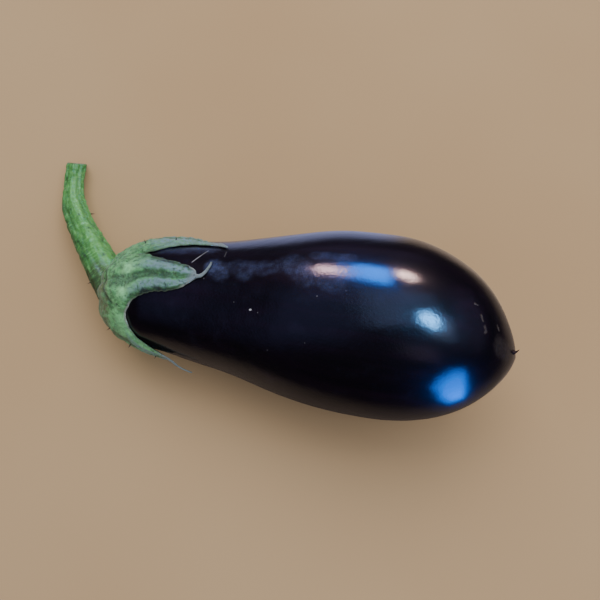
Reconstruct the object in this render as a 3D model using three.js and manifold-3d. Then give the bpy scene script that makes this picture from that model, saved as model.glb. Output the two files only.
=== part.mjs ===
// An eggplant lying on its side: the fruit, its leafy green calyx, its cut stem and the dried rest
// of its flower.
// Millimetres, +Z up. +X runs along the fruit from the stem end to the blossom end.
// The origin is on the floor, under the middle of the whole thing.
import * as THREE from "three";
import { mergeVertices } from "three/addons/utils/BufferGeometryUtils.js";
import Module from "manifold-3d";

const wasm = await Module();
wasm.setup();

const { degToRad, lerp, smoothstep } = THREE.MathUtils;

// ---------------------------------------------------------------- Driving dimensions

const GAP = 0.3; // clear space between two pieces that lie against each other

// The fruit is round about a slightly bent axis. A station is a distance along that axis from the
// stem end.
const FRUIT_LENGTH = 216;
const NECK = { station: 30, radius: 29.8, slope: degToRad(6), dome: 19, lead: 12, reach: 72.5 };
const BELLY = { station: 146, radius: 47.1, before: 49.5, after: 44.5 };
const BLOSSOM_END = { pull: 20.5, bluntness: 4.5 };
const TILT = degToRad(8); // the blossom end lies this much higher than the stem end
const BEND = { square: 0.222, cube: -0.167 }; // sideways bow towards +Y, as shares of the length
const NECK_LEAN = { shift: -2.9, reach: 42 }; // the neck's end leans a little towards -Y
const TIP_LEAN = { shift: -1.1, reach: 18 }; // and so does the blossom end
const FLAT_DEPTH = 0.8; // the belly is pressed flat by this much where it rests

// The calyx caps the stem end. Points on it are [distance along the skin from the stem end, angle in
// degrees], and the angle runs from 0 at +Y over 90 at the top to 180 at -Y.
const CALYX = {
  gap: 0.35,
  capThickness: 4.2,
  marginThickness: 1.3,
  tendrilThickness: 0.9,
  ridge: 0.45, // a low ridge runs along each half of a lobe
  ridgePlace: 0.5,
  ridgeWidth: 0.22,
  valley: 0.75, // and a valley along its middle
  valleyWidth: 0.2,
  capEdge: 0.45, // the cap thins out from this share of its way to the crotches
  thinCapEdge: 0.05, // and above the top lobe it does so from here
  taper: 0.3, // the share of a lobe over which it thins out to its tendril
  swellReach: 0.3, // the share of a lobe over which a swollen base fades
  radius: 33, // of the skin under the lobes, on average
};
const CROTCHES = {
  topToMiddle: [38.4, 59.4],
  middleToLower: [38.1, 126],
  lowerToUnder: [38.5, 208],
  underToBack: [39, 286],
  backToTop: [39, 346],
};

// The stem leaves the calyx at the stem end, turns to +Y and droops until its cut end nearly touches
// the floor.
const STEM_LINE = [
  [1.2, -1, 29.5],
  [-5, 4, 30.2],
  [-11.6, 10.3, 29.2],
  [-17.9, 16.6, 26],
  [-25.7, 24.4, 22],
  [-33.3, 32.3, 18],
  [-40.3, 40.7, 14],
  [-45.7, 49.4, 10.8],
  [-48.9, 57.7, 8.6],
  [-51.2, 66, 7.1],
  [-52.6, 74.8, 6.6],
];
const STEM_RADII = [11.8, 10.3, 9.2, 8.8, 8.1, 7.4, 7.15, 6.15, 5.5, 5.45, 5.75];
const STEM_RIB = { count: 5, height: 0.42, turn: 0.6, fineCount: 13, fineHeight: 0.12 };
const STEM_END_BEVEL = 0.5;
// The cut slants: its face turns this way, and the rows before it lean over this share of the stem.
const STEM_CUT_NORMAL = new THREE.Vector3(-0.1, 0.905, 0.41);
const STEM_CUT_REACH = 0.15;
const STEM_SOCKET_DEPTH = 9; // how far under the skin the root of the stem is cleared away

const PRICKLE = { radius: 0.55, length: 2.4, root: 0.9, sides: 6 };
// Where prickles stand on the calyx, and how long they are next to the usual length.
const CALYX_PRICKLES = [
  [38.5, 44, 0.9],
  [53.5, 37, 0.8],
  [24.8, 160, 1],
  [37, 172, 1],
  [50.6, 180, 0.7],
  [38.1, 66, 0.35],
  [34.4, 72, 0.4],
  [44.4, 82, 0.3],
  [44.1, 90, 0.3],
  [27, 340, 0.9],
  [30, 232, 0.8],
  [46, 312, 0.6],
  [24, 290, 0.9],
];
// On the stem: distance from its root, angle round it in degrees, and the same share of the length.
const STEM_PRICKLES = [
  [32, 250, 0.4],
  [60, 300, 1.3],
  [46, 300, 0.8],
  [47, 20, 0.45],
  [8.5, 110, 0.7],
];

// The dried rest of the flower's style stands near the blossom end, at a distance and an angle like
// the calyx's points.
const STYLE = {
  distance: 245.5,
  angle: 91,
  rootRadius: 0.95,
  tipRadius: 0.35,
  length: 1.9,
  bend: -1.7,
};

// How finely the forms are faceted.
const FRUIT_SIDES = 80;
const OUTLINE_STEPS = [10, 12, 14]; // along the neck, the swell and the blossom end
const LOBE_COLUMNS = 8;
const CAP_ROWS = 9;
const ROWS_PER_STATION = 2;
const STEM_SIDES = 30;
const STEM_ROWS = 44;
const SLOPE_STEP = 0.002; // the share of the skin's length over which its slope is taken
const FLOOR_BLOCK = { size: 400, depth: 40 }; // cuts the flat spot

// ---------------------------------------------------------------- Solids

// A closed geometry as a manifold solid, without the slivers that shared corners leave.
function solidOf(geometry) {
  const bare = geometry.clone();
  bare.deleteAttribute("normal");
  bare.deleteAttribute("uv");
  const merged = mergeVertices(bare, 1e-4);
  const corners = merged.index.array;
  const kept = [];
  for (let i = 0; i < corners.length; i += 3) {
    const [a, b, c] = corners.slice(i, i + 3);
    if (a !== b && b !== c && c !== a) kept.push(a, b, c);
  }
  const mesh = new wasm.Mesh({
    numProp: 3,
    vertProperties: new Float32Array(merged.attributes.position.array),
    triVerts: new Uint32Array(kept),
  });
  return new wasm.Manifold(mesh);
}

function geometryOf(solid) {
  const mesh = solid.getMesh();
  const geometry = new THREE.BufferGeometry();
  geometry.setAttribute("position", new THREE.BufferAttribute(mesh.vertProperties, 3));
  geometry.setIndex(new THREE.BufferAttribute(mesh.triVerts, 1));
  geometry.computeVertexNormals();
  return geometry;
}

function geometryFrom(points, triangles) {
  const geometry = new THREE.BufferGeometry();
  const coordinates = points.flatMap((p) => [p.x, p.y, p.z]);
  geometry.setAttribute("position", new THREE.Float32BufferAttribute(coordinates, 3));
  geometry.setIndex(triangles);
  return geometry;
}

// Moves every vertex of a geometry by a rule.
function warp(geometry, rule) {
  const position = geometry.attributes.position;
  const point = new THREE.Vector3();
  for (let i = 0; i < position.count; i++) {
    point.fromBufferAttribute(position, i);
    const moved = rule(point);
    position.setXYZ(i, moved.x, moved.y, moved.z);
  }
  return geometry;
}

// ---------------------------------------------------------------- The fruit's form

// The half outline, as station and radius: a domed neck, a slow swell to the belly and a round
// blossom end.
function makeProfile() {
  const at = (x, y) => new THREE.Vector2(x, y);
  const along = [Math.cos(NECK.slope), Math.sin(NECK.slope)];
  const neck = at(NECK.station, NECK.radius);
  const belly = at(BELLY.station, BELLY.radius);
  const dome = new THREE.CubicBezierCurve(
    at(0, 0),
    at(0, NECK.dome),
    at(neck.x - NECK.lead * along[0], neck.y - NECK.lead * along[1]),
    neck,
  );
  const swell = new THREE.CubicBezierCurve(
    neck,
    at(neck.x + NECK.reach * along[0], neck.y + NECK.reach * along[1]),
    at(belly.x - BELLY.before, belly.y),
    belly,
  );
  const end = new THREE.CubicBezierCurve(
    belly,
    at(belly.x + BELLY.after, belly.y),
    at(FRUIT_LENGTH - BLOSSOM_END.bluntness, BLOSSOM_END.pull),
    at(FRUIT_LENGTH, 0),
  );
  const profile = new THREE.CurvePath();
  profile.add(dome);
  profile.add(swell);
  profile.add(end);
  return profile;
}

const profile = makeProfile();
const SKIN_LENGTH = profile.getLength();
const AXIS = new THREE.Vector3(Math.cos(TILT), 0, Math.sin(TILT));
const SIDE = new THREE.Vector3(0, 1, 0);
const UP = new THREE.Vector3(-Math.sin(TILT), 0, Math.cos(TILT));

// The height of the axis at the stem end, which puts the flat spot on the floor.
function stemEndHeight() {
  const drops = profile.getPoints(120).map((p) => p.y * Math.cos(TILT) - p.x * Math.sin(TILT));
  return Math.max(...drops) - FLAT_DEPTH;
}

const STEM_END_HEIGHT = stemEndHeight();

function bow(station) {
  const u = station / FRUIT_LENGTH;
  const neckLean = NECK_LEAN.shift * Math.max(0, 1 - station / NECK_LEAN.reach) ** 2;
  const tipLean = TIP_LEAN.shift * Math.max(0, 1 - (FRUIT_LENGTH - station) / TIP_LEAN.reach) ** 2;
  return neckLean + tipLean + FRUIT_LENGTH * (BEND.square * (u * u - u) + BEND.cube * (u * u * u - u));
}

// A place given by its station and its two distances from the axis, sideways and up.
function placed(station, sideways, upward) {
  return new THREE.Vector3(0, bow(station), STEM_END_HEIGHT)
    .addScaledVector(AXIS, station)
    .addScaledVector(SIDE, sideways)
    .addScaledVector(UP, upward);
}

// A point that stands off the skin by a height, at a distance along the skin and an angle round it.
function overSkin(distance, degrees, height) {
  const share = THREE.MathUtils.clamp(distance / SKIN_LENGTH, 0, 1);
  const p = profile.getPoint(share);
  const ahead = profile.getPoint(Math.min(share + SLOPE_STEP, 1));
  const behind = profile.getPoint(Math.max(share - SLOPE_STEP, 0));
  const run = share === 0 ? new THREE.Vector2(0, 1) : ahead.sub(behind).normalize();
  const station = p.x - run.y * height;
  const radius = p.y + run.x * height;
  const angle = degToRad(degrees);
  return placed(station, radius * Math.cos(angle), radius * Math.sin(angle));
}

function makeFruit() {
  const outline = profile.curves.flatMap((curve, i) => {
    return curve.getPoints(OUTLINE_STEPS[i]).slice(i ? 1 : 0);
  });
  const lathe = new THREE.LatheGeometry(
    outline.map((p) => new THREE.Vector2(p.y, p.x)),
    FRUIT_SIDES,
  );
  warp(lathe, (p) => placed(p.y, p.x, -p.z));
  const { size, depth } = FLOOR_BLOCK;
  const floor = new THREE.BoxGeometry(size, size, depth).translate(FRUIT_LENGTH / 2, 0, -depth / 2);
  return geometryOf(solidOf(lathe).subtract(solidOf(floor)));
}

// ---------------------------------------------------------------- The calyx

// A curling dry tip, as blade edges on both sides of its own line.
function tendrilEdges(line, startWidth, endWidth) {
  const millimetresPerDegree = degToRad(1) * CALYX.radius;
  const path = new THREE.SplineCurve(
    line.map(([w, degrees]) => new THREE.Vector2(w, degrees * millimetresPerDegree)),
  );
  const edges = { left: [], right: [] };
  const steps = line.length;
  for (let i = 0; i < steps; i++) {
    const t = i / (steps - 1);
    const p = path.getPoint(t);
    const run = path.getTangent(t);
    const half = lerp(startWidth, endWidth, t) / 2;
    edges.left.push([p.x - run.y * half, (p.y + run.x * half) / millimetresPerDegree]);
    edges.right.push([p.x + run.y * half, (p.y - run.x * half) / millimetresPerDegree]);
  }
  return edges;
}

// The left edge of a lobe is the one with the larger angle. Both run from the crotches to the tip.
const MIDDLE_LOBE = {
  left: [
    CROTCHES.middleToLower,
    [39.6, 119],
    [42.7, 110],
    [47.5, 104],
    [54, 99.8],
    [60.6, 97.7],
    [66.5, 94.5],
    [71.2, 89],
  ],
  right: [
    CROTCHES.topToMiddle,
    [43.5, 61],
    [46.9, 63.5],
    [52.1, 66],
    [58, 68.3],
    [63.5, 70.6],
    [68.5, 73],
    [72.6, 76],
  ],
  tendril: { line: [[74.6, 82], [77, 81], [78.9, 77], [79.9, 72], [80, 68]], widths: [2.4, 0.8] },
  lift: [0.2, 0.6],
  thickness: 2.7,
  swell: 0,
};
const TOP_LOBE = {
  left: [
    CROTCHES.topToMiddle,
    [41.5, 57.9],
    [46.2, 54.6],
    [51.2, 49],
    [58, 43.6],
    [66.3, 42],
    [75.1, 44.6],
  ],
  right: [CROTCHES.backToTop, [41, -8], [44, -1], [49, 5], [56, 12], [65, 27], [73.5, 38.6]],
  tendril: { line: [[78.5, 43.2], [81.5, 46], [84.3, 48.8]], widths: [2.8, 0.9] },
  lift: [0.25, 0.3],
  thickness: 1.6,
  swell: 1,
};
const LOWER_LOBE = {
  left: [CROTCHES.lowerToUnder, [40, 203], [43.5, 198], [48, 194], [53, 190], [57.5, 185]],
  right: [CROTCHES.middleToLower, [39, 137], [41, 148], [45, 156], [51, 162.5], [56, 167.5]],
  tendril: { line: [[60.5, 177], [63.5, 180], [67, 182], [72.5, 184]], widths: [3.2, 0.9] },
  lift: [1.9, 5],
  thickness: 2.3,
  swell: 0,
};

// A lobe of the middle lobe's form that fills the span between two other crotches.
function likeMiddleLobe(leftCrotch, rightCrotch, reach, lift, thickness) {
  const from = CROTCHES.topToMiddle[1];
  const to = CROTCHES.middleToLower[1];
  const moved = ([w, degrees]) => {
    const share = (degrees - from) / (to - from);
    return [lerp(CROTCHES.topToMiddle[0], w, reach), lerp(rightCrotch[1], leftCrotch[1], share)];
  };
  const { left, right, tendril } = MIDDLE_LOBE;
  return {
    left: [leftCrotch, ...left.slice(1).map(moved)],
    right: [rightCrotch, ...right.slice(1).map(moved)],
    tendril: { line: tendril.line.slice(0, 3).map(moved), widths: tendril.widths },
    lift,
    thickness,
    swell: 0,
  };
}

const LOBES = [
  TOP_LOBE,
  MIDDLE_LOBE,
  LOWER_LOBE,
  likeMiddleLobe(CROTCHES.underToBack, CROTCHES.lowerToUnder, 0.85, [0.05, 0.1], 2.5),
  likeMiddleLobe(CROTCHES.backToTop, CROTCHES.underToBack, 0.7, [0.1, 0.4], 2.2),
];

// Angles on from a lobe's right edge, so that they never fall back through a full turn.
function unwrapped(degrees, start) {
  return degrees < start - 40 ? degrees + 360 : degrees;
}

// How thick a lobe is at a share of its way to the tip, and across it from -1 to 1.
function thicknessOf(lobe, along, across, tendrilFrom) {
  const taper = smoothstep(along, tendrilFrom - CALYX.taper, tendrilFrom);
  const middle = lerp(lobe.thickness, CALYX.tendrilThickness, taper);
  const margin = lerp(CALYX.marginThickness, CALYX.tendrilThickness, taper);
  const swell = lobe.swell * Math.exp(-((along / CALYX.swellReach) ** 2)) * (1 - across * across);
  const body = lerp(middle, margin, Math.abs(across) ** 3) + swell;
  const relief = (1 - taper) * (1 - across * across);
  const ridgeOffset = (Math.abs(across) - CALYX.ridgePlace) / CALYX.ridgeWidth;
  const ridges = CALYX.ridge * Math.exp(-(ridgeOffset ** 2));
  const valley = CALYX.valley * Math.exp(-((across / CALYX.valleyWidth) ** 2));
  return body + relief * (ridges - valley);
}

// The calyx as one sheet over the skin: its points, its triangles and the loop of its edge.
function calyxSheet() {
  const points = [{ w: 0, degrees: 0, lift: 0, thickness: CALYX.capThickness }];
  const triangles = [];
  const quad = (a, b, c, d) => triangles.push(a, c, b, a, d, c);
  const columns = [];
  for (const lobe of LOBES) {
    const start = lobe.right[0];
    const end = [lobe.left[0][0], unwrapped(lobe.left[0][1], start[1])];
    for (let j = 0; j < LOBE_COLUMNS; j++) {
      const share = j / LOBE_COLUMNS;
      const across = 2 * share - 1;
      const w = lerp(start[0], end[0], share);
      const degrees = lerp(start[1], end[1], share);
      const thinness = lobe === TOP_LOBE ? 1 - across * across : 0;
      const capEdge = lerp(CALYX.capEdge, CALYX.thinCapEdge, thinness);
      columns.push({ w, degrees, capEdge, rim: thicknessOf(lobe, 0, across, 1) });
    }
  }
  // The cap: rings from the stem end out to the ring through the crotches.
  const rings = [];
  for (let k = 1; k <= CAP_ROWS; k++) {
    const t = k / CAP_ROWS;
    const ring = columns.map(({ w, degrees, capEdge, rim }) => {
      const thickness = lerp(CALYX.capThickness, rim, smoothstep(t, capEdge, 1));
      return points.push({ w: w * t, degrees, lift: 0, thickness }) - 1;
    });
    rings.push(ring);
  }
  const count = columns.length;
  for (let j = 0; j < count; j++) {
    const next = (j + 1) % count;
    triangles.push(0, rings[0][next], rings[0][j]);
    for (let k = 1; k < CAP_ROWS; k++) {
      quad(rings[k - 1][j], rings[k][j], rings[k][next], rings[k - 1][next]);
    }
  }
  // The lobes: rows from the ring to the end of each tendril.
  const edge = [];
  LOBES.forEach((lobe, number) => {
    const tendril = tendrilEdges(lobe.tendril.line, ...lobe.tendril.widths);
    const spline = (list) => {
      const start = lobe.right[0][1];
      const knots = list.map(([w, degrees]) => new THREE.Vector2(w, unwrapped(degrees, start)));
      return new THREE.SplineCurve(knots);
    };
    const left = spline([...lobe.left, ...tendril.left]);
    const right = spline([...lobe.right, ...tendril.right]);
    const rows = (left.points.length - 1) * ROWS_PER_STATION;
    const tendrilFrom = (lobe.left.length - 1) / (left.points.length - 1);
    const ring = rings[CAP_ROWS - 1];
    let previous = [];
    for (let j = 0; j <= LOBE_COLUMNS; j++) {
      previous.push(ring[(number * LOBE_COLUMNS + j) % count]);
    }
    const rightEdge = [previous[0]];
    const leftEdge = [];
    for (let i = 1; i <= rows; i++) {
      const along = i / rows;
      const from = right.getPoint(along);
      const to = left.getPoint(along);
      const rise = lobe.lift[0] * smoothstep(along, 0.2, tendrilFrom);
      const curl = (lobe.lift[1] - lobe.lift[0]) * smoothstep(along, tendrilFrom - 0.05, 1);
      const row = [];
      for (let j = 0; j <= LOBE_COLUMNS; j++) {
        const share = j / LOBE_COLUMNS;
        const across = 2 * share - 1;
        const w = lerp(from.x, to.x, share);
        const degrees = lerp(from.y, to.y, share);
        const thickness = thicknessOf(lobe, along, across, tendrilFrom);
        row.push(points.push({ w, degrees, lift: rise + curl, thickness }) - 1);
      }
      for (let j = 0; j < LOBE_COLUMNS; j++) {
        quad(previous[j], row[j], row[j + 1], previous[j + 1]);
      }
      previous = row;
      rightEdge.push(row[0]);
      leftEdge.unshift(row[LOBE_COLUMNS]);
    }
    edge.push(...rightEdge, ...previous.slice(1, -1), ...leftEdge);
  });
  return { points, triangles, edge };
}

// A closed solid between two heights over the skin, with a wall along the sheet's edge.
function shellOver(sheet, innerHeight, outerHeight) {
  const outer = sheet.points.map((p) => overSkin(p.w, p.degrees, outerHeight(p)));
  const inner = sheet.points.map((p) => overSkin(p.w, p.degrees, innerHeight(p)));
  const under = outer.length;
  const triangles = [...sheet.triangles];
  for (let i = 0; i < sheet.triangles.length; i += 3) {
    const [a, b, c] = sheet.triangles.slice(i, i + 3);
    triangles.push(under + a, under + c, under + b);
  }
  sheet.edge.forEach((a, i) => {
    const b = sheet.edge[(i + 1) % sheet.edge.length];
    triangles.push(a, under + b, under + a, a, b, under + b);
  });
  return geometryFrom([...outer, ...inner], triangles);
}

// ---------------------------------------------------------------- Prickles

// A thin spike that stands on a surface, with its root sunk in.
function prickle(foot, outward, size) {
  const length = PRICKLE.length * size;
  const cone = new THREE.ConeGeometry(PRICKLE.radius, length + PRICKLE.root, PRICKLE.sides);
  cone.translate(0, (length - PRICKLE.root) / 2, 0);
  const upright = new THREE.Vector3(0, 1, 0);
  cone.applyQuaternion(new THREE.Quaternion().setFromUnitVectors(upright, outward.clone().normalize()));
  cone.translate(foot.x, foot.y, foot.z);
  return solidOf(cone);
}

// The point of a sheet nearest to a distance and an angle.
function nearestOn(sheet, w, degrees) {
  const around = (a) => THREE.MathUtils.euclideanModulo(a + 180, 360) - 180;
  const miss = (p) => Math.hypot(p.w - w, around(p.degrees - degrees) / 2);
  return sheet.points.reduce((best, p) => (miss(p) < miss(best) ? p : best));
}

function makeCalyx() {
  const sheet = calyxSheet();
  const inner = (p) => CALYX.gap + p.lift;
  const outer = (p) => CALYX.gap + p.lift + p.thickness;
  let solid = solidOf(shellOver(sheet, inner, outer));
  for (const [w, degrees, size] of CALYX_PRICKLES) {
    const p = nearestOn(sheet, w, degrees);
    const foot = overSkin(p.w, p.degrees, outer(p));
    solid = solid.add(prickle(foot, overSkin(p.w, p.degrees, outer(p) + 1).sub(foot), size));
  }
  const clearance = shellOver(
    sheet,
    () => -STEM_SOCKET_DEPTH,
    (p) => outer(p) + GAP,
  );
  return { solid, clearance: solidOf(clearance) };
}

// ---------------------------------------------------------------- The stem

function makeStem(calyxClearance) {
  const line = new THREE.CatmullRomCurve3(STEM_LINE.map((p) => new THREE.Vector3(...p)));
  const radii = new THREE.SplineCurve(STEM_RADII.map((r, i) => new THREE.Vector2(i, r)));
  const frames = line.computeFrenetFrames(STEM_ROWS, false);
  const length = line.getLength();
  // A unit cylinder, whose height becomes the way along the stem.
  const rod = new THREE.CylinderGeometry(1, 1, STEM_ROWS, STEM_SIDES, STEM_ROWS);
  warp(rod, (p) => {
    const row = Math.round(p.y + STEM_ROWS / 2);
    const t = row / STEM_ROWS;
    const spoke = Math.hypot(p.x, p.z);
    const angle = Math.atan2(-p.z, p.x);
    const ribs = STEM_RIB.height * Math.cos(STEM_RIB.count * angle + STEM_RIB.turn * t * Math.PI);
    const fine = STEM_RIB.fineHeight * Math.cos(STEM_RIB.fineCount * angle);
    const bevel = row === STEM_ROWS ? STEM_END_BEVEL : 0;
    const radius = spoke * (radii.getPoint(line.getUtoTmapping(t)).y + ribs + fine - bevel);
    const offset = new THREE.Vector3()
      .addScaledVector(frames.normals[row], radius * Math.cos(angle))
      .addScaledVector(frames.binormals[row], radius * Math.sin(angle));
    const slant = THREE.MathUtils.smoothstep(t, 1 - STEM_CUT_REACH, 1);
    const slide = (-slant * offset.dot(STEM_CUT_NORMAL)) / frames.tangents[row].dot(STEM_CUT_NORMAL);
    return line.getPointAt(t).add(offset).addScaledVector(frames.tangents[row], slide);
  });
  let solid = solidOf(rod).subtract(calyxClearance);
  for (const [distance, degrees, size] of STEM_PRICKLES) {
    const t = distance / length;
    const row = Math.round(t * STEM_ROWS);
    const outward = new THREE.Vector3()
      .addScaledVector(frames.normals[row], Math.cos(degToRad(degrees)))
      .addScaledVector(frames.binormals[row], Math.sin(degToRad(degrees)));
    const radius = radii.getPoint(line.getUtoTmapping(row / STEM_ROWS)).y;
    const foot = line.getPointAt(row / STEM_ROWS).addScaledVector(outward, radius);
    solid = solid.add(prickle(foot, outward, size));
  }
  return geometryOf(solid);
}

// ---------------------------------------------------------------- The dried flower rest

function makeStyleRest() {
  const stub = new THREE.CylinderGeometry(STYLE.tipRadius, STYLE.rootRadius, STYLE.length, 12, 3);
  stub.translate(0, STYLE.length / 2, 0);
  warp(stub, (p) => p.clone().setX(p.x + STYLE.bend * (p.y / STYLE.length) ** 2));
  const foot = overSkin(STYLE.distance, STYLE.angle, GAP);
  const outward = overSkin(STYLE.distance, STYLE.angle, GAP + 1).sub(foot).normalize();
  const upright = new THREE.Vector3(0, 1, 0);
  stub.applyQuaternion(new THREE.Quaternion().setFromUnitVectors(upright, outward));
  stub.translate(foot.x, foot.y, foot.z);
  return geometryOf(solidOf(stub));
}

// ---------------------------------------------------------------- The eggplant

const MATERIALS = {
  skin: new THREE.MeshStandardMaterial({ color: 0x15101d, roughness: 0.16, metalness: 0 }),
  calyx: new THREE.MeshStandardMaterial({ color: 0x7c9a83, roughness: 0.8, metalness: 0 }),
  stem: new THREE.MeshStandardMaterial({ color: 0x6e9f5c, roughness: 0.62, metalness: 0 }),
  dried: new THREE.MeshStandardMaterial({ color: 0x4a3324, roughness: 0.85, metalness: 0 }),
};

function named(name, geometry, material) {
  const mesh = new THREE.Mesh(geometry, material);
  mesh.name = name;
  return mesh;
}

const calyx = makeCalyx();
const group = new THREE.Group();
group.add(
  named("fruit", makeFruit(), MATERIALS.skin),
  named("calyx", geometryOf(calyx.solid), MATERIALS.calyx),
  named("stem", makeStem(calyx.clearance), MATERIALS.stem),
  named("style_remnant", makeStyleRest(), MATERIALS.dried),
);

// The origin goes on the floor under the middle of the whole thing.
const extent = new THREE.Box3().setFromObject(group);
const middle = extent.getCenter(new THREE.Vector3());
group.position.set(-middle.x, -middle.y, -extent.min.z);

export default group;
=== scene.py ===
"""An eggplant lying on its side on a pale floor.

The fruit, its felted green calyx, its ribbed stem, their prickles and short hairs and the dried rest
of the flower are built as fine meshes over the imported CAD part, in the same frame and in metres.
"""

import functools
import logging
import math
from dataclasses import dataclass, field
from enum import Enum
from typing import Union

import bpy
import numpy as np
from mathutils import Matrix, Vector


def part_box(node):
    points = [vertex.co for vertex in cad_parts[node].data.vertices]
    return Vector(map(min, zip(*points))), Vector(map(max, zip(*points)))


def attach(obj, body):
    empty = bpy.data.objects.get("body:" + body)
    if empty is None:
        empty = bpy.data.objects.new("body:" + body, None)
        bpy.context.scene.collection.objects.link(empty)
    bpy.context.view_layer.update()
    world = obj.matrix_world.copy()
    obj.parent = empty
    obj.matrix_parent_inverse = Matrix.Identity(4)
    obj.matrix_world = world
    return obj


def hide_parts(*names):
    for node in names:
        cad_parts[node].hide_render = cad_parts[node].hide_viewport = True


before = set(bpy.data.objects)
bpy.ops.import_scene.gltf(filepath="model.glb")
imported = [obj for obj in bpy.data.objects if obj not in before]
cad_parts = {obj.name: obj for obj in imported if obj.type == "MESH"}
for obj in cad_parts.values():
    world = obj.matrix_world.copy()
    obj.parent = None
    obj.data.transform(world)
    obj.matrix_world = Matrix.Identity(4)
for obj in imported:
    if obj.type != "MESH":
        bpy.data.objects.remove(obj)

LOG = logging.getLogger("eggplant")
BODY = "root"
MM = 0.001

Array = np.ndarray
Object = bpy.types.Object
Material = bpy.types.Material
Node = bpy.types.Node
Tree = bpy.types.NodeTree
Colour = tuple[float, float, float, float]
Pair = tuple[float, float]
Triple = tuple[float, float, float]
Faces = list[tuple[int, ...]]
Line = tuple[Pair, ...]
Socket = bpy.types.NodeSocket
SocketValue = Union[Socket, float, int, bool, str, tuple]


def srgb(red: int, green: int, blue: int) -> Colour:
    """Turns an 8-bit display colour into a linear one.

    Args:
        red: Red, 0 to 255.
        green: Green, 0 to 255.
        blue: Blue, 0 to 255.

    Returns:
        The linear colour with an alpha of one.
    """
    parts = [channel / 255 for channel in (red, green, blue)]
    linear = [c / 12.92 if c <= 0.04045 else ((c + 0.055) / 1.055) ** 2.4 for c in parts]
    return (linear[0], linear[1], linear[2], 1.0)


# ---- Curves and smooth noise


def smooth(value: Array, low: Array | float, high: float) -> Array:
    """Rises smoothly from 0 at low to 1 at high.

    Args:
        value: The values to map.
        low: Where the rise starts.
        high: Where it ends.

    Returns:
        Shares from 0 to 1.
    """
    share = np.clip((value - low) / (high - low), 0, 1)
    return share * share * (3 - 2 * share)


def bell(value: Array, width: float) -> Array:
    """A bump of height one at zero, that fades over the width."""
    return np.exp(-((value / width) ** 2))


def ripple(points: Array, wavelength: float, seed: int, waves: int = 24) -> Array:
    """Smooth noise in space, as a sum of plane waves in random directions.

    Args:
        points: Places, one a row.
        wavelength: The usual distance between two crests, in the units of the places.
        seed: The seed of the directions and phases.
        waves: How many waves are added.

    Returns:
        One value for each place, around 0, with a usual size of 1.
    """
    draw = np.random.default_rng(seed)
    directions = draw.normal(size=(waves, 3))
    directions /= np.linalg.norm(directions, axis=1, keepdims=True)
    rates = 2 * math.pi / wavelength * draw.uniform(0.7, 1.4, waves)
    phases = draw.uniform(0, 2 * math.pi, waves)
    return np.cos(points @ (directions * rates[:, None]).T + phases).sum(axis=1) * math.sqrt(2 / waves)


def polar(radius: Array | float, angle: Array) -> tuple[Array, Array]:
    """The two coordinates of points at a radius and an angle in radians."""
    return radius * np.cos(angle), radius * np.sin(angle)


def ways_along(points: Array) -> Array:
    """How far each point of a polyline is from its start, along it."""
    return np.concatenate([[0], np.cumsum(np.linalg.norm(np.diff(points, axis=0), axis=1))])


def spline(knots: Array, share: Array) -> Array:
    """A smooth curve through knots that are evenly spaced in its parameter.

    Args:
        knots: The knots, one a row.
        share: Parameters from 0 at the first knot to 1 at the last.

    Returns:
        A point of the curve for each parameter.
    """
    last = len(knots) - 1
    place = np.clip(share, 0, 1) * last
    start = np.minimum(place.astype(int), last - 1)
    t = (place - start)[:, None]
    p0, p1 = knots[np.maximum(start - 1, 0)], knots[start]
    p2, p3 = knots[start + 1], knots[np.minimum(start + 2, last)]
    leave, arrive = (p2 - p0) / 2, (p3 - p1) / 2
    return (
        (2 * p1 - 2 * p2 + leave + arrive) * t**3
        + (-3 * p1 + 3 * p2 - 2 * leave - arrive) * t**2
        + leave * t
        + p1
    )


def bezier(corners: list[Pair], steps: int) -> Array:
    """Points of a cubic Bezier curve.

    Args:
        corners: Its four control points.
        steps: How many steps are taken along it.

    Returns:
        The points, one a row.
    """
    a, b, c, d = (np.array(corner, float) for corner in corners)
    t = np.linspace(0, 1, steps + 1)[:, None]
    return a * (1 - t) ** 3 + 3 * b * t * (1 - t) ** 2 + 3 * c * t * t * (1 - t) + d * t**3


def distance_to_line(points: Array, line: Array) -> Array:
    """How far each point is from a polyline.

    Args:
        points: Places, one a row.
        line: The polyline's corners, one a row.

    Returns:
        The distances.
    """
    nearest = np.full(len(points), np.inf)
    for start, end in zip(line[:-1], line[1:]):
        run = end - start
        share = np.clip((points - start) @ run / max(run @ run, 1e-12), 0, 1)
        nearest = np.minimum(nearest, np.linalg.norm(points - start - share[:, None] * run, axis=1))
    return nearest


# ---- Meshes


def add_object(name: str, data: bpy.types.ID) -> Object:
    """Adds an object to the scene, at the origin.

    Args:
        name: Its name.
        data: Its mesh, light or camera.

    Returns:
        The object.
    """
    made = bpy.data.objects.new(name, data)
    bpy.context.scene.collection.objects.link(made)
    return made


def add_mesh(name: str, points: list, faces: Faces) -> Object:
    """Adds a mesh to the scene.

    Args:
        name: Its name.
        points: Its corners in metres.
        faces: Corner numbers of each face.

    Returns:
        The object.
    """
    mesh = bpy.data.meshes.new(name)
    mesh.from_pydata(points, [], faces)
    return add_object(name, mesh)


def smooth_piece(name: str, points: Array, faces: Faces) -> Object:
    """Makes a smooth-shaded mesh object at the origin from points in the row frame.

    Args:
        name: The piece's name.
        points: Corners in metres, one a row.
        faces: Corner numbers of each face, in the order that makes it face outwards.

    Returns:
        The object.
    """
    made = add_mesh(name, points.tolist(), faces)
    made.data.polygons.foreach_set("use_smooth", [True] * len(faces))
    made.data.update()
    return made


def tube_grid(values: Array, sides: int) -> tuple[Array, Array]:
    """The value and the angle at each corner of a tube, where each value belongs to a ring."""
    angles = np.arange(sides) * 2 * math.pi / sides
    return np.repeat(values, sides), np.tile(angles, len(values))


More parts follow.
